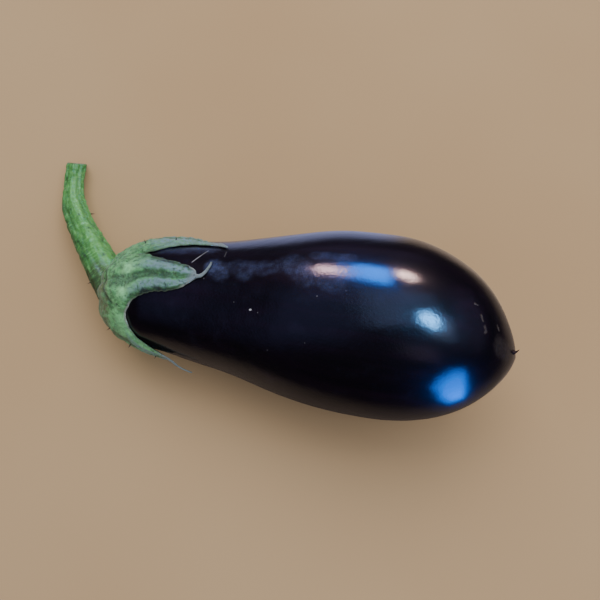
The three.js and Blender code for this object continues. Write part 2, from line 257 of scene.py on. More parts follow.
def tube_faces(rings: int, sides: int) -> Faces:
    """Faces of a closed tube: quads between its rings and a fan of triangles at each end.

    Args:
        rings: How many rings of corners it has, which are numbered ring by ring.
        sides: How many corners a ring has.

    Returns:
        Corner numbers of each face. The first ring's fan meets in the corner that is numbered after
        the rings, and the last ring's fan in the one after that.
    """
    last = (rings - 1) * sides
    root, tip = rings * sides, rings * sides + 1
    faces: Faces = []
    for j in range(sides):
        k = (j + 1) % sides
        faces += [(root, k, j), (tip, last + j, last + k)]
        for here in range(0, last, sides):
            faces.append((here + j, here + k, here + sides + k, here + sides + j))
    return faces


def keep_values(target: Object, name: str, values: Array) -> None:
    """Stores a value or a vector at each vertex for the finishes to read.

    Args:
        target: The mesh object.
        name: The attribute's name.
        values: One number or one row of three for each vertex.
    """
    if values.ndim == 1:
        attribute = target.data.attributes.new(name, "FLOAT", "POINT")
        attribute.data.foreach_set("value", values.astype(np.float32))
    else:
        attribute = target.data.attributes.new(name, "FLOAT_VECTOR", "POINT")
        attribute.data.foreach_set("vector", values.astype(np.float32).ravel())


def dress(piece: Object, finish: Material) -> None:
    """Gives a piece its finish and the body it rides on, and reports it.

    Args:
        piece: The finished mesh object.
        finish: Its material.
    """
    if not piece.data.materials:
        piece.data.materials.append(finish)
    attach(piece, BODY)
    triangles = sum(len(face.vertices) - 2 for face in piece.data.polygons)
    LOG.info("%s: %d vertices, %d triangles", piece.name, len(piece.data.vertices), triangles)


# ---- Node trees


class Graph:
    """Adds nodes to a tree and links them."""

    COLUMNS = 12
    COLUMN_WIDTH = 220
    ROW_HEIGHT = 260
    TO_NUMBER = ("DOT_PRODUCT", "DISTANCE", "LENGTH")

    def __init__(self, tree: Tree) -> None:
        """Keeps the tree that the nodes go into."""
        self.tree = tree

    def node(self, kind: str, values: dict | None = None, **settings: object) -> Node:
        """Adds one node.

        Args:
            kind: The node's type.
            values: What its inputs hold: a number, a colour or another node's output.
            **settings: Its properties.

        Returns:
            The node.
        """
        made = self.tree.nodes.new(kind)
        row, column = divmod(len(self.tree.nodes), self.COLUMNS)
        made.location = (self.COLUMN_WIDTH * column, -self.ROW_HEIGHT * row)
        for name, value in settings.items():
            setattr(made, name, value)
        self.fill(made, values or {})
        return made

    def fill(self, node: Node, values: dict) -> None:
        """Gives a node's inputs their values, or links them to other nodes' outputs.

        Args:
            node: The node.
            values: What each input holds, by its name or number.
        """
        for key, value in values.items():
            if isinstance(value, Socket):
                self.tree.links.new(value, node.inputs[key])
            else:
                node.inputs[key].default_value = value

    def math(self, operation: str, a: SocketValue, b: SocketValue, clamp: bool = False) -> Socket:
        """One arithmetic step on values."""
        return self.node("ShaderNodeMath", {0: a, 1: b}, operation=operation, use_clamp=clamp).outputs[0]

    def times(self, a: SocketValue, b: SocketValue, clamp: bool = False) -> Socket:
        """The product of two values."""
        return self.math("MULTIPLY", a, b, clamp)

    def plus(self, a: SocketValue, b: SocketValue, clamp: bool = False) -> Socket:
        """The sum of two values."""
        return self.math("ADD", a, b, clamp)

    def most(self, a: SocketValue, b: SocketValue, clamp: bool = False) -> Socket:
        """The larger of two values."""
        return self.math("MAXIMUM", a, b, clamp)

    def vector(self, operation: str, a: SocketValue, b: SocketValue = (0.0, 0.0, 0.0)) -> Socket:
        """One step on vectors.

        Args:
            operation: The step.
            a: The first vector.
            b: The second one, or the factor of a scaling.

        Returns:
            A vector, or a number where the step gives one.
        """
        second = "Scale" if operation == "SCALE" else 1
        made = self.node("ShaderNodeVectorMath", {0: a, second: b}, operation=operation)
        return made.outputs["Value" if operation in self.TO_NUMBER else "Vector"]

    def span(
        self, value: SocketValue, low: float, high: float, to_low: float = 0.0, to_high: float = 1.0
    ) -> Socket:
        """Maps a value smoothly from one range to another."""
        values = {"Value": value, "From Min": low, "From Max": high, "To Min": to_low, "To Max": to_high}
        return self.node("ShaderNodeMapRange", values, interpolation_type="SMOOTHSTEP").outputs["Result"]

    def mix(self, share: Socket, a: SocketValue, b: SocketValue) -> Socket:
        """Mixes two colours."""
        return self.node("ShaderNodeMix", {0: share, 6: a, 7: b}, data_type="RGBA").outputs[2]

    def noise(
        self, place: Socket, scale: SocketValue, detail: float = 2.0, rough: float = 0.5, warp: float = 0.0
    ) -> Socket:
        """Smooth noise from 0 to 1 at a place."""
        values = {"Vector": place, "Scale": scale, "Detail": detail, "Roughness": rough, "Distortion": warp}
        return self.node("ShaderNodeTexNoise", values).outputs["Fac"]

    def painted(self, colour: Socket, *layers: tuple[Socket, SocketValue]) -> Socket:
        """Paints colours over a first one.

        Args:
            colour: The first colour.
            *layers: Each mask with the colour that is painted through it.

        Returns:
            The top colour.
        """
        for mask, paint in layers:
            colour = self.mix(mask, colour, paint)
        return colour

    def attribute(self, name: str, vector: bool = False) -> Socket:
        """A value or a vector that the mesh keeps at its vertices."""
        found = self.node("ShaderNodeAttribute", attribute_name=name)
        return found.outputs["Vector" if vector else "Fac"]

    def here(self) -> Socket:
        """The place on the piece, in Object coordinates."""
        return self.node("ShaderNodeTexCoord").outputs["Object"]

    def stretched(self, place: Socket, factors: Triple) -> Socket:
        """A place with its three coordinates scaled."""
        return self.node("ShaderNodeMapping", {"Vector": place, "Scale": factors}).outputs["Vector"]

    def bump(self, height: Socket, distance: float, strength: float) -> Socket:
        """The normal over a relief of that height in metres."""
        values = {"Height": height, "Distance": distance, "Strength": strength}
        return self.node("ShaderNodeBump", values).outputs["Normal"]


class SharedEffects:
    """Node groups that more than one finish uses."""

    def __init__(self) -> None:
        """Builds the groups once."""
        self.stroke = self._stroke_group()
        self.mottle = self._mottle_group()

    @staticmethod
    def _group(name: str, inputs: dict[str, str], output: tuple[str, str]) -> tuple[Graph, Node]:
        """Starts a shader node group.

        Args:
            name: The group's name.
            inputs: The socket type of each named input.
            output: The name and socket type of its output.

        Returns:
            The graph and its input node.
        """
        tree = bpy.data.node_groups.new(name, "ShaderNodeTree")
        for label, kind in inputs.items():
            tree.interface.new_socket(label, in_out="INPUT", socket_type=kind)
        tree.interface.new_socket(output[0], in_out="OUTPUT", socket_type=output[1])
        graph = Graph(tree)
        return graph, graph.node("NodeGroupInput")

    def _stroke_group(self) -> Tree:
        """A soft mark along a straight line between two points.

        Returns:
            The group, whose output is the mark's mask.
        """
        inputs = {
            "Place": "NodeSocketVector",
            "Start": "NodeSocketVector",
            "End": "NodeSocketVector",
            "Width": "NodeSocketFloat",
        }
        graph, given = self._group("soft_stroke", inputs, ("Mask", "NodeSocketFloat"))
        place, start, end, width = (given.outputs[i] for i in range(4))
        offset = graph.vector("SUBTRACT", place, start)
        run = graph.vector("SUBTRACT", end, start)
        dot = graph.vector("DOT_PRODUCT", offset, run)
        square = graph.vector("DOT_PRODUCT", run, run)
        share = graph.math("DIVIDE", dot, square, clamp=True)
        away = graph.vector("DISTANCE", offset, graph.vector("SCALE", run, share))
        mask = graph.span(graph.math("DIVIDE", away, width), 1.0, 0.35)
        graph.node("NodeGroupOutput", {0: mask})
        return graph.tree

    def _mottle_group(self) -> Tree:
        """Irregular soft patches.

        Returns:
            The group, whose output is the patches' mask.
        """
        inputs = {"Place": "NodeSocketVector", "Scale": "NodeSocketFloat", "Cover": "NodeSocketFloat"}
        graph, given = self._group("mottle", inputs, ("Mask", "NodeSocketFloat"))
        place, scale, cover = (given.outputs[i] for i in range(3))
        cloud = graph.noise(place, scale, 4.0, 0.6, warp=0.3)
        level = graph.plus(cloud, graph.math("SUBTRACT", cover, 0.5))
        graph.node("NodeGroupOutput", {0: graph.span(level, 0.42, 0.62)})
        return graph.tree

    def marks_mask(self, graph: Graph, place: Socket, marks: tuple["Mark", ...], form: "FruitForm") -> Socket:
        """Draws marks on the skin.

        Args:
            graph: The material's graph.
            place: Object coordinates.
            marks: The marks.
            form: The form whose surface they lie on.

        Returns:
            How strong the strongest mark is at each place.
        """
        masks = []
        for mark in marks:
            start, end = form.spot(*mark.start), form.spot(*mark.end)
            values = {"Place": place, "Start": start, "End": end, "Width": mark.width * MM}
            mask = graph.node("ShaderNodeGroup", values, node_tree=self.stroke).outputs["Mask"]
            masks.append(graph.times(mask, mark.strength))
        return functools.reduce(graph.most, masks)

    def mottle_mask(self, graph: Graph, place: Socket, scale: float, cover: float) -> Socket:
        """Places mottling in a finish.

        Args:
            graph: The material's graph.
            place: The coordinates that the patches follow.
            scale: How many patches there are to a metre.
            cover: The share of the surface that they cover, 0.5 for half.

        Returns:
            The patches' mask.
        """
        values = {"Place": place, "Scale": scale, "Cover": cover}
        return graph.node("ShaderNodeGroup", values, node_tree=self.mottle).outputs["Mask"]


def new_material(name: str) -> tuple[Material, Graph, Node]:
    """Starts a material.

    Args:
        name: Its name.

    Returns:
        The material, its graph and its Principled node.
    """
    material = bpy.data.materials.new(name)
    material.use_nodes = True
    shader = material.node_tree.nodes["Principled BSDF"]
    return material, Graph(material.node_tree), shader


# ---- The fruit's form


@dataclass(frozen=True)
class Mark:
    """A mark on the skin, from one place to another, given as millimetres from the stem end and degrees."""

    start: Pair
    end: Pair
    width: float
    strength: float = 1.0


@dataclass
class FruitForm:
    """The smooth form of the fruit in millimetres, as the CAD part has it.

    A station is a distance along the slightly bent axis, and a way is a distance along the skin, both
    from the stem end. Angles run from 0 at +Y over 90 at the top to 180 at -Y.
    """

    length: float = 216.0
    neck: Pair = (30.0, 29.8)
    neck_slope: float = math.radians(6)
    neck_dome: float = 19.0
    neck_lead: float = 12.0
    neck_reach: float = 72.5
    belly: Pair = (146.0, 47.1)
    belly_before: float = 49.5
    belly_after: float = 44.5
    end_pull: float = 20.5
    end_bluntness: float = 4.5
    tilt: float = math.radians(8)
    bend_square: float = 0.222
    bend_cube: float = -0.167
    neck_lean: Pair = (-2.9, 42.0)
    tip_lean: Pair = (-1.1, 18.0)
    flat_depth: float = 0.8
    steps: int = 900
    slope_step: float = 0.002
    normal_step: float = 0.5
    box_grid: tuple[int, int] = (400, 361)
    ways: Array = field(init=False)
    outline: Array = field(init=False)
    stem_end_height: float = field(init=False)
    shift: Array = field(init=False)

    def __post_init__(self) -> None:
        """Draws the half outline and finds the place of the form in the row frame."""
        along = np.array([math.cos(self.neck_slope), math.sin(self.neck_slope)])
        neck, belly = np.array(self.neck), np.array(self.belly)
        dome = bezier([(0, 0), (0, self.neck_dome), neck - self.neck_lead * along, neck], self.steps)
        before = (belly[0] - self.belly_before, belly[1])
        swell = bezier([neck, neck + self.neck_reach * along, before, belly], self.steps)
        after = (belly[0] + self.belly_after, belly[1])
        blunt = (self.length - self.end_bluntness, self.end_pull)
        end = bezier([belly, after, blunt, (self.length, 0)], self.steps)
        self.outline = np.vstack([dome, swell[1:], end[1:]])
        self.ways = ways_along(self.outline)
        drops = self.outline[:, 1] * math.cos(self.tilt) - self.outline[:, 0] * math.sin(self.tilt)
        self.stem_end_height = float(drops.max()) - self.flat_depth
        self.shift = np.zeros(3)
        self.shift = self._find_shift()

    def _find_shift(self) -> Array:
        """Compares the form's own frame with the row frame.

        Returns:
            How far the one lies from the other, in millimetres.
        """
        ways = np.linspace(0, self.skin_length, self.box_grid[0])
        way, angle = np.meshgrid(ways, np.linspace(0, 360, self.box_grid[1]))
        surface = self.over_skin(way.ravel(), angle.ravel(), 0.0)
        low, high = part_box("fruit")
        middle = np.array((low + high) / 2) / MM
        own = (surface.min(axis=0) + surface.max(axis=0)) / 2
        return np.array([middle[0] - own[0], middle[1] - own[1], 0.0])

    @property
    def skin_length(self) -> float:
        """The whole way along the skin."""
        return float(self.ways[-1])

    def bow(self, station: Array) -> Array:
        """How far the axis lies towards +Y.

        Args:
            station: Distances along it.

        Returns:
            The distances, which are negative towards -Y.
        """
        u = station / self.length
        lean = self.neck_lean[0] * np.maximum(0, 1 - station / self.neck_lean[1]) ** 2
        lean += self.tip_lean[0] * np.maximum(0, 1 - (self.length - station) / self.tip_lean[1]) ** 2
        return lean + self.length * (self.bend_square * (u * u - u) + self.bend_cube * (u**3 - u))

    def over_skin(self, way: Array, degrees: Array, height: Array | float) -> Array:
        """Points that stand off the skin.

        Args:
            way: Distances along the skin.
            degrees: Angles round the axis.
            height: How far the points stand off.

        Returns:
            The points, one a row, in millimetres in the row frame.
        """
        way = np.clip(way, 0, self.skin_length)
        step = self.slope_step * self.skin_length
        base = self._on_outline(way)
        run = self._on_outline(way + step) - self._on_outline(way - step)
        size = np.hypot(run[0], run[1])
        at_pole = way <= 0
        rise = np.where(at_pole, 0.0, run[0] / size)
        lead = np.where(at_pole, 1.0, run[1] / size)
        station = base[0] - lead * height
        radius = base[1] + rise * height
        side, up = polar(radius, np.radians(degrees))
        return np.column_stack(
            [
                station * math.cos(self.tilt) - up * math.sin(self.tilt) + self.shift[0],
                self.bow(station) + side + self.shift[1],
                self.stem_end_height + station * math.sin(self.tilt) + up * math.cos(self.tilt),
            ]
        )

    def _on_outline(self, way: Array) -> Array:
        """The stations and the radii of the half outline at distances along the skin."""
        return np.array([np.interp(way, self.ways, self.outline[:, k]) for k in (0, 1)])

    def chart(self, way: Array, degrees: Array) -> Array:
        """Places in metres along and round a straight axis, for patterns that follow the fruit."""
        return np.column_stack([way, *polar(self._on_outline(way)[1], np.radians(degrees))]) * MM

    def spot(self, way: float, degrees: float) -> Vector:
        """A single place on the skin, in metres."""
        return Vector(self.over_skin(np.array([way]), np.array([degrees]), 0.0)[0] * MM)

    def outward(self, way: float, degrees: float) -> Vector:
        """The direction that points straight out of the skin at a place.

        Args:
            way: Millimetres from the stem end along the skin.
            degrees: The angle round the axis.

        Returns:
            The unit direction.
        """
        ways = way + self.normal_step * np.array([-1, 1, 0, 0, 0])
        angles = degrees + self.normal_step * np.array([0, 0, -1, 1, 0])
        near = self.over_skin(ways, angles, np.array([0, 0, 0, 0, 1]))
        normal = np.cross(near[1] - near[0], near[3] - near[2])
        above = near[4] - (near[0] + near[1]) / 2
        return Vector(normal if normal @ above > 0 else -normal).normalized()

    def to_row(self, local: Array) -> Array:
        """Points of the form's own frame in the row frame."""
        return local + self.shift


# ---- Finishes


@dataclass(frozen=True)
class SkinFinish:
    """Near-black purple skin with a waxy gloss, a thin bloom that carries painted bluish sheen, and a few
    scars.
    """

    deep: Colour = srgb(13, 10, 17)
    tinted: Colour = srgb(24, 11, 26)
    bloom_sheen: Colour = srgb(76, 90, 134)
    scar: Colour = srgb(178, 180, 190)
    corky: Colour = srgb(120, 110, 104)
    browned: Colour = srgb(52, 38, 32)
    roughness: float = 0.34
    roughness_spread: float = 0.04
    coat_roughness: float = 0.09
    coat_ior: float = 1.46
    ior: float = 1.45
    specular: float = 0.18
    streak_scale: Triple = (12.0, 170.0, 170.0)
    wave_scale: Triple = (60.0, 190.0, 190.0)
    cloud_scale: float = 22.0
    swirl_scale: float = 240.0
    swirl_reach: float = 0.004
    dust_scale: float = 1600.0
    puff_scale: float = 200.0
    film_scale: float = 90.0
    film_strength: float = 0.02
    cork_scale: float = 700.0
    pore_scale: float = 780.0
    browned_reach: Pair = (0.006, 0.0015)
    relief_depth: float = 0.0006
    relief_strength: float = 0.35
    # Bloom marks along the neck and upper flank, which also paint a bluish sheen where the skin mirrors the
    # window and the ceiling.
    bloom_sheen_marks: tuple[Mark, ...] = (
        Mark((81, 71), (87, 76), 6.2, 0.42),
        Mark((93, 72), (100, 76), 6.0, 0.25),
        Mark((81, 73), (116, 72), 5.4, 0.22),
        Mark((121, 69), (131, 78), 7.5, 0.26),
        Mark((134, 79), (146, 83), 5.5, 0.17),
        Mark((132, 63), (150, 64), 3.2, 0.2),
        Mark((50, 53), (76, 50), 4.6, 0.2),
    )
    scratches: tuple[Mark, ...] = (
        Mark((68.9, 67.3), (71.6, 59.5), 0.42, 0.6),
        Mark((71.6, 59.5), (74.2, 51.5), 0.36, 0.45),
        Mark((84.9, 60), (84.6, 53.5), 0.4, 0.12),
    )
    specks: tuple[Mark, ...] = (
        Mark((106.5, 103.4), (107.0, 103.3), 0.6, 1.0),
        Mark((110.8, 104.5), (110.8, 104.5), 0.45, 0.2),
        Mark((97.4, 99.5), (97.4, 99.5), 0.4, 0.14),
        Mark((78.4, 83), (78.4, 83), 0.45, 0.2),
        Mark((138, 90.5), (138, 90.5), 0.4, 0.4),
        Mark((150.5, 85.5), (150.5, 85.5), 0.4, 0.3),
        Mark((118, 128), (118, 128), 0.4, 0.14),
        Mark((136, 118), (136, 118), 0.4, 0.1),
    )
    scars: tuple[Mark, ...] = (
        Mark((209.5, 71), (211, 72), 0.7, 0.75),
        Mark((213.5, 78.5), (215, 81.5), 0.9, 0.5),
        Mark((216.5, 86), (217.5, 90), 1.3, 0.4),
        Mark((225, 77), (227, 80), 1.1, 0.55),
        Mark((229, 96), (238, 100), 6.0, 0.2),
    )

    def material(self, effects: SharedEffects, form: FruitForm) -> Material:
        """Builds the finish.

        Args:
            effects: The shared node groups.
            form: The form that the marks lie on.

        Returns:
            The material.
        """
        material, graph, shader = new_material("skin_gloss")
        place = graph.here()
        chart = graph.attribute("chart", vector=True)
        streaks = graph.noise(graph.stretched(chart, self.streak_scale), 1.0, 3.0, 0.6)
        cloud = graph.noise(place, self.cloud_scale, 3.0)
        tint = graph.times(graph.span(streaks, 0.35, 0.75), graph.span(cloud, 0.3, 0.7, 0.3, 1.0))
        swirled = self._swirled(graph, place)
        marks = effects.marks_mask(graph, swirled, self.bloom_sheen_marks, form)
        bloom_sheen = self._dusted(graph, effects, place, marks)
        scars = effects.marks_mask(graph, swirled, self.scars, form)
        cork = graph.times(scars, graph.noise(place, self.cork_scale, 3.0), clamp=True)
        scratched = effects.marks_mask(graph, place, self.scratches + self.specks, form)
        colour = graph.painted(
            graph.mix(tint, self.deep, self.tinted),
            # Real bloom together with painted bluish sheen.
            (bloom_sheen, self.bloom_sheen),
            (cork, self.corky),
            (graph.span(graph.attribute("to_end"), *self.browned_reach), self.browned),
            (scratched, self.scar),
        )

        spread = (self.roughness - self.roughness_spread, self.roughness + self.roughness_spread)
        matt = graph.plus(graph.times(bloom_sheen, 0.3), graph.times(scars, 0.4))
        worn = graph.most(scratched, graph.times(scars, 0.8), clamp=True)
        normal = self._relief(graph, place, chart, scratched)
        values = {
            "Base Color": colour,
            "Roughness": graph.plus(graph.span(cloud, 0.2, 0.8, *spread), matt),
            "Coat Weight": graph.math("SUBTRACT", 1.0, worn, clamp=True),
            "Normal": normal,
            "Coat Normal": normal,
            "Coat Roughness": self.coat_roughness,
            "Coat IOR": self.coat_ior,
            "IOR": self.ior,
            "Specular IOR Level": self.specular,
        }
        graph.fill(shader, values)
        return material

    def _swirled(self, graph: Graph, place: Socket) -> Socket:
        """Moves a place about a little, so that marks read from it get ragged edges.

        Args:
            graph: The material's graph.
            place: The place.

        Returns:
            The moved place.
        """
        values = {"Vector": place, "Scale": self.swirl_scale, "Detail": 3.0}
        swirl = graph.node("ShaderNodeTexNoise", values).outputs["Color"]
        swirl = graph.vector("SUBTRACT", swirl, (0.5, 0.5, 0.5))
        return graph.vector("ADD", place, graph.vector("SCALE", swirl, self.swirl_reach))

    def _dusted(self, graph: Graph, effects: SharedEffects, place: Socket, marks: Socket) -> Socket:
        """Breaks the bloom and its painted sheen up into dust and puffs and adds a thin film everywhere.

        Args:
            graph: The material's graph.
            effects: The shared node groups.
            place: Object coordinates.
            marks: The marks of the bloom and its painted sheen.

        Returns:
            The mask of the bloom and its painted sheen.
        """
        dust = graph.span(graph.noise(place, self.dust_scale, 3.0, 0.7), 0.36, 0.66, 0.6, 1.2)
        puffs = graph.span(graph.noise(place, self.puff_scale, 3.0), 0.36, 0.66, 0.35, 1.2)
        film = effects.mottle_mask(graph, place, self.film_scale, 0.4)
        bloom_sheen = graph.times(marks, graph.times(dust, puffs))
        return graph.plus(bloom_sheen, graph.times(film, self.film_strength), clamp=True)

    def _relief(self, graph: Graph, place: Socket, chart: Socket, scratched: Socket) -> Socket:
        """Lays fine pores, soft waves along the fruit and sunken scratches.

        Args:
            graph: The material's graph.
            place: Object coordinates.
            chart: Coordinates along the fruit.
            scratched: The scratches' mask.

        Returns:
            The normal over them.
        """
        pores = graph.noise(place, self.pore_scale, 3.0, 0.65)
        waves = graph.noise(graph.stretched(chart, self.wave_scale), 1.0, 2.0)
        relief = graph.plus(graph.times(pores, 0.32), graph.times(waves, 0.03))
        relief = graph.math("SUBTRACT", relief, graph.times(scratched, 0.1))
        return graph.bump(relief, self.relief_depth, self.relief_strength)


@dataclass(frozen=True)
class CalyxFinish:
    """Felted grey-green leaf with bluish ridges, a dark midline, a pale lip, dry tips, painted shade and
    painted highlights.
    """

    leaf: Colour = srgb(64, 116, 64)
    leaf_light: Colour = srgb(108, 184, 114)
    frost_and_highlight: Colour = srgb(152, 232, 166)
    ridge: Colour = srgb(114, 143, 152)
    flank_shade: Colour = srgb(22, 32, 28)
    midline: Colour = srgb(46, 74, 44)
    lip: Colour = srgb(156, 168, 160)
    cut_edge: Colour = srgb(96, 124, 92)
    dry: Colour = srgb(120, 132, 140)
    olive_shade: Colour = srgb(92, 106, 62)
    shade: Colour = srgb(34, 50, 28)
    speck_and_shade: Colour = srgb(28, 32, 24)
    roughness: float = 0.78
    specular: float = 0.3
    sheen: float = 0.2
    sheen_roughness: float = 0.5
    streak_scale: Triple = (150.0, 480.0, 480.0)
    patch_scale: float = 240.0
    blotch_scale: float = 330.0
    cell_scale: float = 620.0
    dot_scale: float = 520.0
    felt_scale: float = 2400.0
    edge_reach: Pair = (0.0005, 0.0001)
    relief_depth: float = 0.0009
    relief_strength: float = 0.7

    def material(self, effects: SharedEffects) -> Material:
        """Builds the finish.

        Args:
            effects: The shared node groups.

        Returns:
            The material.
        """
        material, graph, shader = new_material("calyx_felt")
        place = graph.here()
        chart = graph.attribute("chart", vector=True)
        streaks = graph.noise(graph.stretched(chart, self.streak_scale), 1.0, 4.0, 0.7)
        cells = graph.noise(place, self.cell_scale, 3.0, 0.65)
        felt = graph.noise(place, self.felt_scale, 3.0, 0.7)
        height = graph.plus(graph.times(felt, 0.35), graph.times(streaks, 0.6))
        height = graph.plus(height, graph.times(cells, 0.5))
        values = {
            "Base Color": self._colour(graph, effects, streaks, cells),
            "Normal": graph.bump(height, self.relief_depth, self.relief_strength),
            "Roughness": self.roughness,
            "Specular IOR Level": self.specular,
            "Sheen Weight": self.sheen,
            "Sheen Roughness": self.sheen_roughness,
        }
        graph.fill(shader, values)
        return material

    def _colour(self, graph: Graph, effects: SharedEffects, streaks: Socket, cells: Socket) -> Socket:
        """Paints the leaf: greens, then its parts with painted shade and highlights, then specks and
        underside shade.

        Args:
            graph: The material's graph.
            effects: The shared node groups.
            streaks: Noise that runs along the leaf.
            cells: Noise of the size of the felt's tufts.

        Returns:
            The colour.
        """
        place = graph.here()
        along = graph.attribute("along")
        patches = effects.mottle_mask(graph, place, self.patch_scale, 0.5)
        blotches = effects.mottle_mask(graph, place, self.blotch_scale, 0.42)
        dots = graph.noise(place, self.dot_scale, 1.0)
        on_lobe = graph.span(along, -0.05, 0.3)
        lightness = graph.plus(streaks, graph.times(on_lobe, -0.04))
        # Paler on the lower lobe, and a painted highlight where the cap bulges.
        frost_and_highlight = graph.times(graph.attribute("frost_and_highlight"), graph.span(cells, 0.38, 0.56, 0.6, 1.0))
        # Painted shade on the lobes' steep outer flanks.
        flank_shade = graph.times(graph.span(graph.attribute("across"), 0.58, 0.8), on_lobe)
        flank_shade = graph.times(flank_shade, graph.plus(graph.times(patches, 0.3), 0.7))
        ridge = graph.times(graph.span(graph.attribute("ridge"), 0.15, 0.85), on_lobe)
        ridge = graph.times(ridge, graph.span(cells, 0.36, 0.58, 0.4, 1.0))
        midline = graph.times(graph.span(graph.attribute("valley"), 0.1, 0.75), graph.span(along, -0.5, -0.1))
        midline = graph.times(midline, graph.span(cells, 0.3, 0.6, 1.0, 0.7))
        # Olive painted shade next to the stem.
        olive_shade = graph.times(graph.attribute("olive_shade"), graph.plus(patches, 0.45, clamp=True))
        return graph.painted(
            graph.mix(graph.span(lightness, 0.38, 0.58), self.leaf, self.leaf_light),
            (graph.span(cells, 0.5, 0.36, 0.0, 0.45), self.leaf),
            # Random blotches borrow the dark flank-shade colour.
            (graph.times(blotches, 0.22), self.flank_shade),
            (frost_and_highlight, self.frost_and_highlight),
            (flank_shade, self.flank_shade),
            (ridge, self.ridge),
            (midline, self.midline),
            (olive_shade, self.olive_shade),
            (graph.span(graph.attribute("margin"), *self.edge_reach, 0.0, 0.6), self.cut_edge),
            (graph.attribute("lip"), self.lip),
            (graph.span(graph.attribute("dry"), 0.1, 0.8, 0.0, 0.9), self.dry),
            (graph.times(graph.attribute("crease"), 0.9), self.shade),
            (graph.span(dots, 0.65, 0.71, 0.0, 0.55), self.speck_and_shade),
            # Painted shade on the underside, which the skin mirrors.
            (graph.times(graph.attribute("inner"), 0.8), self.speck_and_shade),
        )


@dataclass(frozen=True)
class StemFinish:
    """Bright green stem, streaked along its ribs, with pale flecks, dark lenticels, a brown cut, painted
    shade and a painted highlight.
    """

    green: Colour = srgb(66, 130, 54)
    green_light: Colour = srgb(108, 190, 92)
    groove_shade: Colour = srgb(38, 74, 34)
    foot_shade: Colour = srgb(84, 100, 66)
    fleck_and_highlight: Colour = srgb(128, 204, 118)
    lenticel: Colour = srgb(30, 44, 26)
    cut: Colour = srgb(122, 112, 70)
    rim: Colour = srgb(96, 78, 48)
    roughness: float = 0.55
    specular: float = 0.4
    streak_scale: Triple = (130.0, 560.0, 560.0)
    cross_scale: Triple = (1200.0, 260.0, 260.0)
    patch_scale: float = 170.0
    fibre_scale: float = 1500.0
    relief_depth: float = 0.0006
    relief_strength: float = 0.6

    def material(self, effects: SharedEffects) -> Material:
        """Builds the finish.

        Args:
            effects: The shared node groups.

        Returns:
            The material.
        """
        material, graph, shader = new_material("stem_green")
        place = graph.here()
        chart = graph.attribute("chart", vector=True)
        streaks = graph.noise(graph.stretched(chart, self.streak_scale), 1.0, 4.0, 0.65)
        across = graph.noise(graph.stretched(chart, self.cross_scale), 1.0, 2.0, 0.6, warp=0.7)
        patches = effects.mottle_mask(graph, place, self.patch_scale, 0.5)
        fibres = graph.noise(place, self.fibre_scale, 3.0, 0.7)
        # Painted shade on the side turned from the light, in the rib grooves and in the wrinkle creases.
        side = graph.times(graph.attribute("side"), graph.span(streaks, 0.3, 0.6, 0.95, 0.6))
        groove_shade = graph.span(graph.attribute("ridge"), 0.1, -0.8)
        flecks = graph.times(graph.span(across, 0.5, 0.68), graph.plus(patches, 0.3, clamp=True))
        # Pale flecks, the scar ring and a painted highlight along the crest.
        pale = graph.times(graph.attribute("pale"), graph.span(streaks, 0.3, 0.6, 0.4, 0.75))
        colour = graph.painted(
            graph.mix(graph.span(streaks, 0.22, 0.85), self.green, self.green_light),
            (graph.attribute("foot_shade"), self.foot_shade),
            (graph.most(graph.times(groove_shade, 0.3), side), self.groove_shade),
            (graph.times(flecks, 0.45), self.fleck_and_highlight),
            (graph.span(across, 0.45, 0.32, 0.0, 0.4), self.groove_shade),
            (pale, self.fleck_and_highlight),
            (graph.times(graph.attribute("dark"), 0.85), self.lenticel),
            (graph.attribute("cut"), graph.mix(graph.span(fibres, 0.35, 0.65), self.cut, self.rim)),
        )
        height = graph.plus(graph.times(streaks, 0.6), graph.times(across, 0.4))
        values = {
            "Base Color": colour,
            "Normal": graph.bump(height, self.relief_depth, self.relief_strength),
            "Roughness": self.roughness,
            "Specular IOR Level": self.specular,
        }
        graph.fill(shader, values)
        return material


@dataclass(frozen=True)
class DriedFinish:
    """Dry dark brown flower rest."""

    light: Colour = srgb(62, 46, 42)
    dark: Colour = srgb(22, 15, 18)
    roughness: float = 0.95
    specular: float = 0.1
    grain_scale: Triple = (900.0, 900.0, 300.0)

    def material(self) -> Material:
        """Builds the finish.

        Returns:
            The material.
        """
        material, graph, shader = new_material("dried_brown")
        grain = graph.noise(graph.stretched(graph.here(), self.grain_scale), 1.0, 4.0, 0.7)
        values = {
            "Base Color": graph.mix(graph.span(grain, 0.35, 0.65), self.dark, self.light),
            "Normal": graph.bump(grain, 0.0003, 0.8),
            "Roughness": self.roughness,
            "Specular IOR Level": self.specular,
        }
        graph.fill(shader, values)
        return material


@dataclass(frozen=True)
class HairFinish:
    """Prickles and hairs, which are a plain colour that varies a little from one to the next."""

    name: str
    light: Colour
    dark: Colour
    roughness: float = 0.7
    grain_scale: float = 400.0

    def material(self) -> Material:
        """Builds the finish.

        Returns:
            The material.
        """
        material, graph, shader = new_material(self.name)
        grain = graph.noise(graph.here(), self.grain_scale)
        colour = graph.mix(graph.span(grain, 0.4, 0.6), self.dark, self.light)
        graph.fill(shader, {"Base Color": colour, "Roughness": self.roughness})
        return material


@dataclass(frozen=True)
class FloorFinish:
    """Plain pale warm floor."""

    light: Colour = srgb(191, 162, 127)
    dark: Colour = srgb(185, 154, 119)
    roughness: float = 0.6
    cloud_scale: float = 3.0

    def material(self) -> Material:
        """Builds the finish.

        Returns:
            The material.
        """
        material, graph, shader = new_material("pale_floor")
        cloud = graph.noise(graph.here(), self.cloud_scale, 3.0)
        colour = graph.mix(graph.span(cloud, 0.3, 0.7), self.dark, self.light)
        graph.fill(shader, {"Base Color": colour, "Roughness": self.roughness, "Specular IOR Level": 0.0})
        return material


# ---- The fruit


